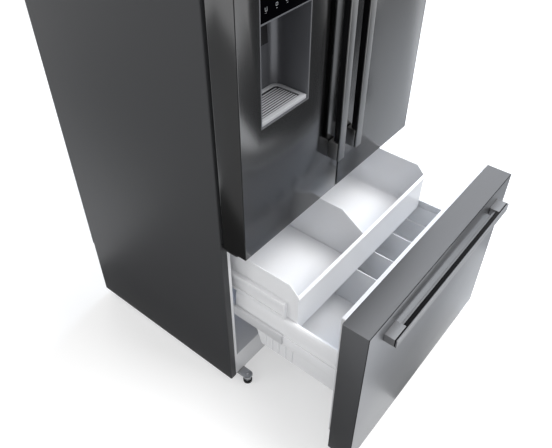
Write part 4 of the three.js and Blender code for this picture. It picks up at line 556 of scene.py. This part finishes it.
@dataclass(frozen=True)
class Studio:
    """Plain pale floor, soft light, dark cards for the metal and the camera."""

    camera_place: Triple = (-1.3427, -1.0128, 1.98995)
    azimuth: float = -51.08
    elevation: float = 42.39
    roll: float = 0.086
    lens: float = 39.226
    sensor_width: float = 36.0
    reach: float = 100.0
    floor_size: float = 16.0
    world_light: float = 0.7
    floor_colour: Triple = (0.64, 0.64, 0.64)
    floor_lift: float = 0.42
    card_thickness: float = 1.0 * MM
    card_height: float = 4 * MM
    cards: tuple[Card, ...] = (
        Card("side_card", (-2.3, 1.0), (2.6, 4.4), 0, 0.22),
        Card("near_card", (-0.73, -0.2), (0.54, 2.0), 0, 0.06),
        Card("left_front_card", (2.05, -2.43), (3.0, 1.5), -42, 0.07),
        Card("right_front_card", (2.45, -1.25), (3.4, 1.1), -25, 0.4),
        Card("drawer_card", (0.5, -0.86), (1.3, 0.36), -8, 0.36),
    )
    lamps: tuple[Lamp, ...] = (
        Lamp("key_lamp", (1.0, -2.1, 4.3), (0, -0.4, 0.6), 195),
        Lamp("fill_lamp", (-2.6, 1.6, 2.4), (-0.4, -0.5, 0.4), 14, size=0.9),
        Lamp("back_lamp", (0.6, 3.2, 3.0), (0, 0, 1.0), 24),
        Lamp("top_lamp", (2.3, 0.2, 3.4), (0, -0.4, 0.6), 95, (0.66, 0.8, 1.0)),
    )

    def set_up(self) -> None:
        """Builds the camera, the lamps, the floor, the cards and the world."""
        self._camera()
        self._world()
        self._floor()
        for card in self.cards:
            self._card(card)
        for lamp in self.lamps:
            self._lamp(lamp)
        bpy.context.scene.view_settings.view_transform = "Standard"

    def _camera(self) -> None:
        """Stands the camera where the photograph was taken."""
        data = bpy.data.cameras.new("camera")
        data.sensor_width = self.sensor_width
        data.sensor_fit = "HORIZONTAL"
        data.lens = self.lens
        data.clip_end = self.reach
        camera = bpy.data.objects.new("camera", data)
        bpy.context.scene.collection.objects.link(camera)
        turn = (Matrix.Rotation(math.radians(self.azimuth), 4, "Z")
                @ Matrix.Rotation(math.radians(90 - self.elevation), 4, "X")
                @ Matrix.Rotation(math.radians(self.roll), 4, "Z"))
        camera.matrix_world = Matrix.Translation(self.camera_place) @ turn
        bpy.context.scene.camera = camera

    def _seen(self, graph: Graph) -> Signal:
        """1 for a ray of the camera, or one that metal or glass sends on, and otherwise 0."""
        path = graph.node("ShaderNodeLightPath")
        total = path["Is Camera Ray"] + path["Is Glossy Ray"] + path["Is Transmission Ray"]
        return graph.node("ShaderNodeMath", {"operation": "MINIMUM"}, {0: total, 1: 1.0})["Value"]

    def _world(self) -> None:
        """A white surround that lights the object at a plain level."""
        world = bpy.data.worlds.new("studio")
        bpy.context.scene.world = world
        graph = Graph(world)
        strength = self._seen(graph) * (1 - self.world_light) + self.world_light
        light = graph.node("ShaderNodeBackground", None,
                           {"Color": (1, 1, 1, 1), "Strength": strength})[0]
        graph.node("ShaderNodeOutputWorld", None, {"Surface": light})

    def _floor(self) -> None:
        """A pale floor that keeps the shadow."""
        bpy.ops.object.select_all(action="DESELECT")
        bpy.ops.mesh.primitive_plane_add(size=self.floor_size)
        floor = bpy.context.object
        floor.name = "floor"
        made = bpy.data.materials.new("floor")
        graph = Graph(made)
        ground = graph.node("ShaderNodeBsdfDiffuse", None, {"Color": (*self.floor_colour, 1)})[0]
        lift = graph.node("ShaderNodeEmission", None, {
            "Color": (1, 1, 1, 1), "Strength": self._seen(graph) * self.floor_lift})[0]
        both = graph.node("ShaderNodeAddShader", None, {0: ground, 1: lift})[0]
        graph.node("ShaderNodeOutputMaterial", None, {"Surface": both})
        floor.data.materials.append(made)

    def _card(self, card: Card) -> None:
        """Lays one dark card."""
        half = Vector((*card.size, self.card_thickness)) / 2
        sheet = Bench.block(card.name, -half, half)
        sheet.location = (*card.middle, self.card_height)
        sheet.rotation_euler.z = math.radians(card.turn)
        made = bpy.data.materials.new(card.name)
        graph = Graph(made)
        grey = graph.node("ShaderNodeBsdfDiffuse", None, {"Color": (*[card.shade] * 3, 1)})[0]
        graph.node("ShaderNodeOutputMaterial", None, {"Surface": grey})
        sheet.data.materials.append(made)
        for ray in ("camera", "diffuse", "transmission", "volume_scatter", "shadow"):
            setattr(sheet, f"visible_{ray}", False)

    @staticmethod
    def _lamp(lamp: Lamp) -> None:
        """Hangs one lamp."""
        data = bpy.data.lights.new(lamp.name, "AREA")
        data.shape = "SQUARE"
        data.size = lamp.size
        data.energy = lamp.power
        data.color = lamp.colour
        made = bpy.data.objects.new(lamp.name, data)
        bpy.context.scene.collection.objects.link(made)
        made.location = lamp.place
        way = Vector(lamp.target) - Vector(lamp.place)
        made.rotation_euler = way.to_track_quat("-Z", "Y").to_euler()
        made.visible_camera = False
        made.visible_glossy = False


# ---------------------------------------------------------------- hardware


@dataclass(frozen=True)
class Screw:
    """A pan head screw with a cross recess."""

    radius: float = 4.2 * MM
    height: float = 1.8 * MM
    slot_length: float = 4.4 * MM
    slot_width: float = 1.0 * MM
    slot_floor: float = 0.4
    rounding: float = 0.6

    def head(self, name: str, place: Sequence[float], axis: Vector) -> bpy.types.Object:
        """Models one head.

        Args:
            name: The object's name.
            place: Middle of its seat.
            axis: The way that it looks.

        Returns:
            The head.
        """
        head = Bench.disc(name, (0, 0, 0), self.radius, self.height, sides=20)
        Bench.round_edges(head, self.height * self.rounding, 3, lambda middle, way:
                          middle.z > self.height * 0.9 and abs(way.z) < 0.5)
        half = Vector((self.slot_length, self.slot_width, 0)) / 2
        for turn in (0, math.pi / 2):
            cutter = Bench.block("cutter", UP * self.height * self.slot_floor - half,
                                 UP * self.height * 2 + half)
            cutter.data.transform(Matrix.Rotation(turn, 4, "Z"))
            Bench.apply(head, "BOOLEAN", operation="DIFFERENCE", object=cutter, solver="EXACT")
            bpy.data.objects.remove(cutter)
        head.data.transform(Matrix.Translation(place)
                            @ UP.rotation_difference(axis).to_matrix().to_4x4())
        Bench.pick(head)
        bpy.ops.object.shade_smooth_by_angle(angle=SMOOTH_ANGLE)
        return head

    def set_of(self, name: str, places: Sequence[Sequence[float]], axis: Vector
               ) -> bpy.types.Object:
        """Models one head, copies it to every place and joins them."""
        first = self.head(name, places[0], axis)
        rest = [Bench.copied(first, f"{name}_{i}", Vector(place) - Vector(places[0]))
                for i, place in enumerate(places[1:], 1)]
        return Bench.join(name, [first, *rest])


class Run(IntEnum):
    """The axis that a handle runs along, as its number in a vector."""

    ACROSS = 0
    UPRIGHT = 2


@dataclass
class Handles:
    """Bar handles: a brushed front plate, a black core and spine behind it and two posts."""

    plate_depth: float = 4.5 * MM
    core_depth: float = 9 * MM
    core_inset: float = 0.6 * MM
    groove_shade_depth: float = 9 * MM
    spine_width: float = 16 * MM
    spine_depth: float = 9 * MM
    post_length: float = 62 * MM
    post_bevel: float = 4 * MM
    edge: float = 1.2 * MM
    core_edge: float = 0.4 * MM

    def build(self, shop: Workshop) -> None:
        """Builds the three handles."""
        for node, run, face, back in (
                ("left_door_handle", Run.UPRIGHT, "handle_plate", "handle_metal"),
                ("right_door_handle", Run.UPRIGHT, "handle_plate", "handle_metal"),
                ("drawer_handle", Run.ACROSS, "drawer_plate", "drawer_plate")):
            self._one(shop, node, run, face, back)

    def _one(self, shop: Workshop, node: str, run: Run, finish: str, spine_finish: str) -> None:
        """Builds one handle.

        Args:
            shop: Where its pieces are handed over.
            node: The CAD node that it stands for.
            run: The way that it runs.
            finish: The finish of its front plate and posts.
            spine_finish: The finish of its spine.
        """
        low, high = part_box(node)
        across = Run.UPRIGHT - run
        plate = Bench.block(f"{node}_plate", low, (high.x, low.y + self.plate_depth, high.z))
        Bench.soften(plate, self.edge, 3)
        shop.hand_over(plate, NODE_BODY[node], finish, [node])

        def bar(name: str, near: float, depth: float, inset: float, from_end: float
                ) -> bpy.types.Object:
            """A bar along the handle, so deep, inset across it and from its ends."""
            bar_low, bar_high = low.copy(), high.copy()
            bar_low.y, bar_high.y = low.y + near - self.edge / 2, low.y + near + depth
            bar_low[across] += inset
            bar_high[across] -= inset
            bar_low[run] += from_end
            bar_high[run] -= from_end
            return Bench.block(f"{node}_{name}", bar_low, bar_high)

        between = self.post_length - self.edge
        spine_inset = (high[across] - low[across] - self.spine_width) / 2
        # painted shade, in part: the black core and groove are partly the handle's own black
        # backing and partly the shade of the recess behind the plate
        core = bar("core", self.plate_depth, self.core_depth - self.plate_depth,
                   self.core_inset, self.core_inset)
        groove_shade = bar("groove_shade", self.core_depth, self.groove_shade_depth, self.core_inset, between)
        shop.hand_over(Bench.soften(Bench.join(f"{node}_core", [core, groove_shade]), self.core_edge),
                       NODE_BODY[node], "handle_metal")
        spine = bar("spine", self.core_depth + self.groove_shade_depth, self.spine_depth,
                    spine_inset, between)
        shop.hand_over(Bench.soften(spine, self.edge, 3), NODE_BODY[node], spine_finish)

        posts = []
        for end, way in ((low[run], 1), (high[run], -1)):
            post_low, post_high = low.copy(), high.copy()
            post_low.y = low.y + self.core_depth - self.edge / 2
            inner = end + way * self.post_length
            post_low[run], post_high[run] = sorted((end, inner))
            post = Bench.block(f"{node}_post", post_low, post_high)
            Bench.round_edges(post, self.post_bevel, 1, lambda middle, line:
                              abs(middle[run] - inner) < MM and middle.y > post_high.y - MM)
            posts.append(post)
        shop.hand_over(Bench.soften(Bench.join(f"{node}_posts", posts), self.edge, 3),
                       NODE_BODY[node], finish)


@dataclass
class Case:
    """Painted case, its back, its liners and its hinges."""

    screw: Screw = field(default_factory=Screw)
    back_border: float = 34 * MM
    back_recess: float = 0.8 * MM
    back_edge: float = 0.3 * MM
    screw_inset: float = 12 * MM
    panel_screw_rows: int = 6
    cover_screw_rows: int = 3
    cover_radius: float = 5 * MM

    def build(self, shop: Workshop) -> None:
        """Builds what shows of the case."""
        for node in ("outer_casing", "centre_rail", "base_frame", "compressor_cover",
                     "fridge_liner", "freezer_liner", "evaporator_cover", "middle_hinge_left",
                     "middle_hinge_right", "top_hinge_left", "top_hinge_right"):
            shop.refine(node)
        for word in SIDES:
            shop.refine(f"hinge_cover_{word}", width=self.cover_radius, segments=5)
        self._back(shop)
        self._back_screws(shop)

    def _back(self, shop: Workshop) -> None:
        """The rear panel, with a shallow pressed field that stiffens it."""
        low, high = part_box("rear_panel")
        panel = Bench.block("rear_panel_sheet", low, high)
        Bench.sink(panel, BACK, self.back_border, self.back_recess)
        Bench.soften(panel, self.back_edge)
        shop.hand_over(panel, "cabinet", "zinc_steel", ["rear_panel"])

    def _back_screws(self, shop: Workshop) -> None:
        """Screws round the rear panel and the compressor cover."""
        places = []
        for node, rows in (("rear_panel", self.panel_screw_rows),
                           ("compressor_cover", self.cover_screw_rows)):
            low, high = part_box(node)
            y = high.y - self.screw.height
            for side in (low.x + self.screw_inset, high.x - self.screw_inset):
                for row in range(rows):
                    share = (row + 0.5) / rows
                    places.append((side, y, low.z + (high.z - low.z) * share))
        screws = self.screw.set_of("back_screws", places, BACK)
        shop.hand_over(screws, "cabinet", "zinc_steel")


@dataclass
class Connectors:
    """The bushing in the mains gland and the water inlet's nipple, low on the back."""

    from_middle: float = 395.5 * MM
    height: float = 92 * MM
    bushing_radius: float = 6.4 * MM
    bushing_thickness: float = 1.5 * MM
    bushing_depth: float = 1.6 * MM
    bushing_edge: float = 0.1 * MM
    nipple_radius: float = 4.5 * MM
    nipple_length: float = 11 * MM
    nipple_depth: float = 12 * MM
    nipple_wall: float = 1.4 * MM
    nipple_bore: float = 7 * MM
    nipple_edge: float = 0.4 * MM

    def build(self, shop: Workshop) -> None:
        """Builds both."""
        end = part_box("compressor_cover")[1].y
        bushing = Bench.ring(
            "gland_bushing", (-self.from_middle, end - self.bushing_depth, self.height),
            self.bushing_radius, self.bushing_thickness, BACK)
        shop.hand_over(Bench.soften(bushing, self.bushing_edge), "cabinet", "black_plastic")
        nipple = Bench.disc(
            "water_nipple", (self.from_middle, end - self.nipple_depth, self.height),
            self.nipple_radius, self.nipple_length, BACK)
        Bench.sink(nipple, BACK, self.nipple_wall, self.nipple_bore)
        shop.hand_over(Bench.soften(nipple, self.nipple_edge), "cabinet", "zinc_steel")


@dataclass
class Feet:
    """Levelling feet: a rubber pad under a plated hexagon on its stud."""

    pad_height: float = 11 * MM
    pad_shoulder: float = 3 * MM
    pad_crown: float = 1.5 * MM
    pad_edge: float = 1.2 * MM
    nut_bottom: float = 12 * MM
    nut_radius: float = 14 * MM
    nut_height: float = 22 * MM
    stud_bottom: float = 30 * MM
    stud_radius: float = 5 * MM
    stud_length: float = 22 * MM
    thread_bottom: float = 36 * MM
    thread_pitch: float = 1.75 * MM
    thread_radius: float = 4.75 * MM
    thread_thickness: float = 0.45 * MM
    threads: int = 8
    nut_edge: float = 0.6 * MM

    def build(self, shop: Workshop) -> None:
        """Builds both feet."""
        for word in SIDES:
            self._one(shop, f"foot_{word}")

    def _one(self, shop: Workshop, node: str) -> None:
        """Builds one foot, which turns as a whole."""
        low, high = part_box(node)
        middle = (low + high) / 2
        centre = Vector((middle.x, middle.y, low.z))
        radius = (high.x - low.x) / 2
        pad = Bench.disc(f"{node}_pad", centre, radius, self.pad_height, sides=48)
        Bench.sink(pad, UP, self.pad_shoulder, -self.pad_crown)
        Bench.soften(pad, self.pad_edge, 3)
        shop.hand_over(pad, node, "black_plastic", [node])
        nut = Bench.disc(f"{node}_nut", centre + UP * self.nut_bottom, self.nut_radius,
                         self.nut_height, sides=6)
        stud = Bench.disc(f"{node}_stud", centre + UP * self.stud_bottom, self.stud_radius,
                          self.stud_length, sides=24)
        rings = [Bench.ring(f"{node}_thread_{i}",
                            centre + UP * (self.thread_bottom + self.thread_pitch * i),
                            self.thread_radius, self.thread_thickness)
                 for i in range(self.threads)]
        top = Bench.join(f"{node}_screw", [nut, stud, *rings])
        shop.hand_over(Bench.soften(top, self.nut_edge), node, "zinc_steel")


@dataclass
class Rollers:
    """Rear rollers with a dished web on their axles."""

    width: float = 26 * MM
    tyre: float = 6 * MM
    dish: float = 5 * MM
    tyre_edge: float = 1.2 * MM
    axle_radius: float = 4 * MM
    axle_edge: float = 0.6 * MM

    def build(self, shop: Workshop) -> None:
        """Builds both rollers."""
        for word in SIDES:
            self._one(shop, f"roller_{word}")

    def _one(self, shop: Workshop, node: str) -> None:
        """Builds one roller and its axle."""
        low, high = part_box(node)
        middle = (low + high) / 2
        radius = (high.z - low.z) / 2
        wheel = Bench.disc(f"{node}_wheel", middle - RIGHT * self.width / 2, radius, self.width,
                           RIGHT, 48)
        for way in (RIGHT, -RIGHT):
            Bench.sink(wheel, way, self.tyre, self.dish)
        Bench.soften(wheel, self.tyre_edge, 3)
        shop.hand_over(wheel, node, "black_plastic", [node])
        axle = Bench.disc(f"{node}_axle", (low.x, middle.y, middle.z), self.axle_radius,
                          high.x - low.x, RIGHT, 24)
        shop.hand_over(Bench.soften(axle, self.axle_edge), node, "zinc_steel")


@dataclass(frozen=True)
class PaintedEdgeShade:
    """Black strips of painted shade that draw the dark line along the edges of a front skin."""

    width: float = 1.8 * MM
    proud: float = 0.1 * MM

    def build(self, shop: Workshop, node: str) -> None:
        """Lays painted shade along each upright edge and along the top of a skin's front face."""
        low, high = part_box(node)
        front = low.y - self.proud
        back = low.y + self.width
        # painted shade: thin black strips stand for the dark line of shade at the skin's edges
        shade_strips = [Bench.block("shade_strip", (x, front, low.z), (x + self.width, back, high.z))
                 for x in (low.x, high.x - self.width)]
        shade_strips.append(Bench.block("shade_strip", (low.x, front, high.z - self.width),
                                 (high.x, back, high.z)))
        shop.hand_over(Bench.join(f"{node}_beads", shade_strips), NODE_BODY[node], "seal_rubber")


@dataclass
class Doors:
    """Door skins, inner liners, seals and the bins on the doors."""

    skin_edge: float = 1.2 * MM
    liner_edge: float = 1.5 * MM
    seal_edge: float = 2.2 * MM
    flap_edge: float = 1.0 * MM
    bin_edge: float = 1.0 * MM
    rim_inset: float = 2 * MM
    rim_depth: float = 6 * MM
    rim_proud: float = 1.0 * MM
    rim_bottom: float = 16 * MM
    rim_top: float = 4 * MM
    rim_radius: float = 3 * MM

    def build(self, shop: Workshop) -> None:
        """Builds both doors."""
        for word in SIDES:
            shop.refine(f"{word}_door_skin", width=self.skin_edge, segments=3)
            PaintedEdgeShade().build(shop, f"{word}_door_skin")
            shop.refine(f"{word}_door_liner", width=self.liner_edge, segments=3)
            shop.refine(f"{word}_door_gasket", width=self.seal_edge, segments=3)
        for node in ("left_door_bin", "right_door_bin_lower", "right_door_bin_upper"):
            self._bin(shop, node)
        shop.refine("mullion_flap", width=self.flap_edge)

    def _bin(self, shop: Workshop, node: str) -> None:
        """A clear bin with a rounded body and a white rim bar."""
        shop.refine(node, width=self.bin_edge, segments=3)
        low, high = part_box(node)
        bar_low = (low.x + self.rim_inset, high.y - self.rim_depth, high.z - self.rim_bottom)
        bar_high = (high.x - self.rim_inset, high.y + self.rim_proud, high.z - self.rim_top)
        bar = Bench.soften(Bench.block(f"{node}_rim", bar_low, bar_high), self.rim_radius, 4)
        shop.hand_over(bar, NODE_BODY[node], "white_plastic")


@dataclass
class Dispenser:
    """Ice and water dispenser in the left door."""

    lip_edge: float = 0.5 * MM
    paddle_edge: float = 1.2 * MM

    def build(self, shop: Workshop) -> None:
        """Builds the niche, the paddle, the drip tray and the panel."""
        shop.refine("dispenser_housing", width=self.lip_edge)
        shop.refine("dispenser_paddle", width=self.paddle_edge, segments=3)
        shop.refine("control_panel", width=self.lip_edge)
        DripTray().build(shop)
        PanelMarks().build(shop)


@dataclass
class DripTray:
    """Drip tray: a pale rim, a dark sunk well and pale bars on it."""

    corner: float = 26 * MM
    rim: float = 13 * MM
    rim_edge: float = 1.0 * MM
    base: float = 3 * MM
    well_overlap: float = 0.1 * MM
    bar_share: float = 0.5
    bar_height: float = 0.6 * MM
    bar_below_rim: float = 2 * MM
    bar_edge: float = 0.2 * MM
    bar_gap: float = 4 * MM
    last_bar_trim: float = 6 * MM
    bars: int = 9

    def build(self, shop: Workshop) -> None:
        """Builds the rim, the well and the bars."""
        low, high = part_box("drip_tray")
        tray = self._rounded("drip_tray_rim", low, high, self.corner, 8)
        Bench.sink(tray, UP, self.rim, high.z - low.z - self.base)
        Bench.soften(tray, self.rim_edge, 3)
        shop.hand_over(tray, "left_door", "pale_plastic", ["drip_tray"])
        top = high.z - self.bar_below_rim - self.bar_height
        well_low = Vector((low.x + self.rim, low.y + self.rim,
                           low.z + self.base - self.well_overlap))
        well_high = Vector((high.x - self.rim, high.y - self.rim, top))
        well = self._rounded("drip_tray_well", well_low, well_high, self.corner - self.rim, 6)
        shop.hand_over(well, "left_door", "black_plastic")
        shop.hand_over(self._bars(well_low, well_high), "left_door", "pale_plastic")

    @staticmethod
    def _rounded(name: str, low: Vector, high: Vector, radius: float, segments: int
                 ) -> bpy.types.Object:
        """A block whose two upright edges at the back are rounded."""
        block = Bench.block(name, low, high)
        return Bench.round_edges(block, radius, segments, lambda middle, way:
                                 abs(way.z) > 0.9 and middle.y > low.y + MM)

    def _bars(self, low: Vector, high: Vector) -> bpy.types.Object:
        """The bars that lie on the well."""
        pitch = (high.y - low.y - self.bar_gap * 2) / self.bars
        bars = []
        for i in range(self.bars):
            front = low.y + self.bar_gap + pitch * i
            trim = self.bar_gap + (self.last_bar_trim if i == self.bars - 1 else 0.0)
            bar = Bench.block(f"drip_bar_{i}",
                              (low.x + trim, front, high.z - self.well_overlap),
                              (high.x - trim, front + pitch * self.bar_share,
                               high.z + self.bar_height))
            bars.append(Bench.soften(bar, self.bar_edge))
        return Bench.join("drip_tray_bars", bars)


@dataclass
class PanelMarks:
    """Plain marks of light on the panel: a glass, a cube, crushed ice, a lamp and a menu.

    Heights are over the panel's lower edge, and the marks of the upper row are a stroke and a
    square each.
    """

    columns: int = 5
    row: float = 30 * MM
    upper_strokes: float = 76 * MM
    upper_squares: float = 90 * MM
    upper_marks: int = 3
    size: float = 6.5 * MM
    line: float = 0.6 * MM
    thickness: float = 0.4 * MM
    proud: float = 0.12 * MM

    def build(self, shop: Workshop) -> None:
        """Builds both rows of marks as one piece."""
        low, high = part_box("control_panel")
        front = low.y - self.proud
        row = low.z + self.row
        pitch = (high.x - low.x) / self.columns
        columns = [low.x + pitch * (i + 0.5) for i in range(self.columns)]
        glass, cube, crushed, lamp, menu = columns
        size, line = self.size, self.line
        marks = []

        def stroke(x: float, z: float, width: float, height: float) -> None:
            """Adds one thin stroke with its middle at x, z."""
            marks.append(Bench.block("mark", (x - width / 2, front, z - height / 2),
                                     (x + width / 2, front + self.thickness, z + height / 2)))

        def square(x: float, z: float, side: float) -> None:
            """Adds a square outline."""
            for step in (-side / 2, side / 2):
                stroke(x + step, z, line, side + line)
                stroke(x, z + step, side + line, line)

        for side in (-size / 2, size / 2):
            stroke(glass + side, row, line, size * 1.3)
        stroke(glass, row - size * 0.65, size, line)
        square(cube, row, size)
        for shift in (-0.42, 0.42):
            square(crushed + shift * size, row - 0.3 * size, size * 0.5)
        square(crushed, row + 0.42 * size, size * 0.5)
        marks.append(Bench.ring("mark", (lamp, front + self.thickness / 2, row), size * 0.5,
                                line / 2, BACK))
        for step in (-1, 0, 1):
            stroke(menu, row + step * size * 0.5, size * 0.8, line)
        for x in columns:
            stroke(x, row - size * 1.4, size * 0.7, line * 0.7)
        for i in range(self.upper_marks):
            stroke(cube + i * pitch, low.z + self.upper_strokes, size * 1.1, line)
            square(cube + i * pitch, low.z + self.upper_squares, size * 1.1)
        shop.hand_over(Bench.join("panel_marks", marks), "left_door", "icon_white")


@dataclass
class FreezerDrawer:
    """Drawer front, seal, side frames, slides, bin and tray."""

    skin_edge: float = 1.2 * MM
    panel_edge: float = 1.5 * MM
    seal_edge: float = 2.2 * MM
    plastic_edge: float = 1.2 * MM
    slide_edge: float = 0.5 * MM

    def build(self, shop: Workshop) -> None:
        """Builds the drawer and what slides in it."""
        shop.refine("drawer_skin", "drawer_stainless", self.skin_edge, 3)
        PaintedEdgeShade().build(shop, "drawer_skin")
        shop.refine("drawer_inner_panel", width=self.panel_edge, segments=3)
        shop.refine("drawer_gasket", "white_seal", self.seal_edge, 3)
        for node in ("drawer_side_left", "drawer_side_right", "lower_bin", "upper_tray",
                     "bin_divider_left", "bin_divider_centre", "bin_divider_right",
                     "tray_divider"):
            shop.refine(node, width=self.plastic_edge, segments=3)
        for word in SIDES:
            for member in ("outer", "middle"):
                shop.refine(f"slide_{member}_{word}", "slide_zinc", self.slide_edge)


@dataclass
class FridgeInside:
    """Shelf, crispers, their frame and the lamp lenses."""

    shelf_edge: float = 1.0 * MM
    crisper_edge: float = 1.5 * MM
    lens_length: float = 240 * MM
    lens_width: float = 46 * MM
    lens_height: float = 8 * MM
    lens_edge: float = 4 * MM
    lens_gap: float = 0.3 * MM
    fridge_lens: Triple = (0, 0.2, 1.712)
    freezer_lens: Triple = (0, 0.16, 0.69)

    def build(self, shop: Workshop) -> None:
        """Builds what stands in the two compartments."""
        shop.refine("glass_shelf", width=self.shelf_edge)
        shop.refine("crisper_frame", width=self.shelf_edge)
        for word in SIDES:
            shop.refine(f"crisper_{word}", width=self.crisper_edge, segments=3)
        self._lens(shop, "fridge_lamp_lens", self.fridge_lens)
        self._lens(shop, "freezer_lamp_lens", self.freezer_lens)

    def _lens(self, shop: Workshop, name: str, place: Triple) -> None:
        """A frosted lamp lens under a liner's ceiling."""
        half = Vector((self.lens_length / 2, self.lens_width / 2, 0))
        top = Vector(place) - UP * self.lens_gap
        lens = Bench.block(name, top - half - UP * self.lens_height, top + half)
        shop.hand_over(Bench.soften(lens, self.lens_edge, 5), "cabinet", "lamp_lens")


@dataclass
class Cooling:
    """Compressor and fans; the coils keep their CAD shape."""

    shell_edge: float = 1.5 * MM
    blade_edge: float = 0.5 * MM

    def build(self, shop: Workshop) -> None:
        """Softens the cooling parts."""
        shop.refine("compressor", width=self.shell_edge, segments=3)
        shop.refine("condenser_fan", width=self.blade_edge)
        shop.refine("evaporator_fan", width=self.blade_edge)


# ---------------------------------------------------------------- the refrigerator


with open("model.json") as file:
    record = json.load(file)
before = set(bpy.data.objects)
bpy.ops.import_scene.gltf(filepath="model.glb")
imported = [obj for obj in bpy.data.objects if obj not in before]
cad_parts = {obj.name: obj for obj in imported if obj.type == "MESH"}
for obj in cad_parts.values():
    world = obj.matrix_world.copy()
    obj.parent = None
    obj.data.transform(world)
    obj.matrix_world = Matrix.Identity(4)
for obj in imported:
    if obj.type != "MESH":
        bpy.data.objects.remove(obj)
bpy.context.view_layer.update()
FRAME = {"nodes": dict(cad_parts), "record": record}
NODE_BODY = {node: body for body, nodes in FRAME["record"]["behaviour"]["bodies"].items()
             for node in nodes}
NODE_SLOT = {row["node"]: row["material_slot"] for row in FRAME["record"]["subparts"]}


def main() -> None:
    """Builds the studio and the refrigerator."""
    logging.basicConfig(level=logging.INFO, format="%(message)s")
    Studio().set_up()
    shop = Workshop()
    shop.dress_frame()
    for assembly in (Case(), Connectors(), Feet(), Rollers(), Doors(), Handles(), Dispenser(),
                     FreezerDrawer(), FridgeInside(), Cooling()):
        assembly.build(shop)


if __name__ == "__main__":
    main()
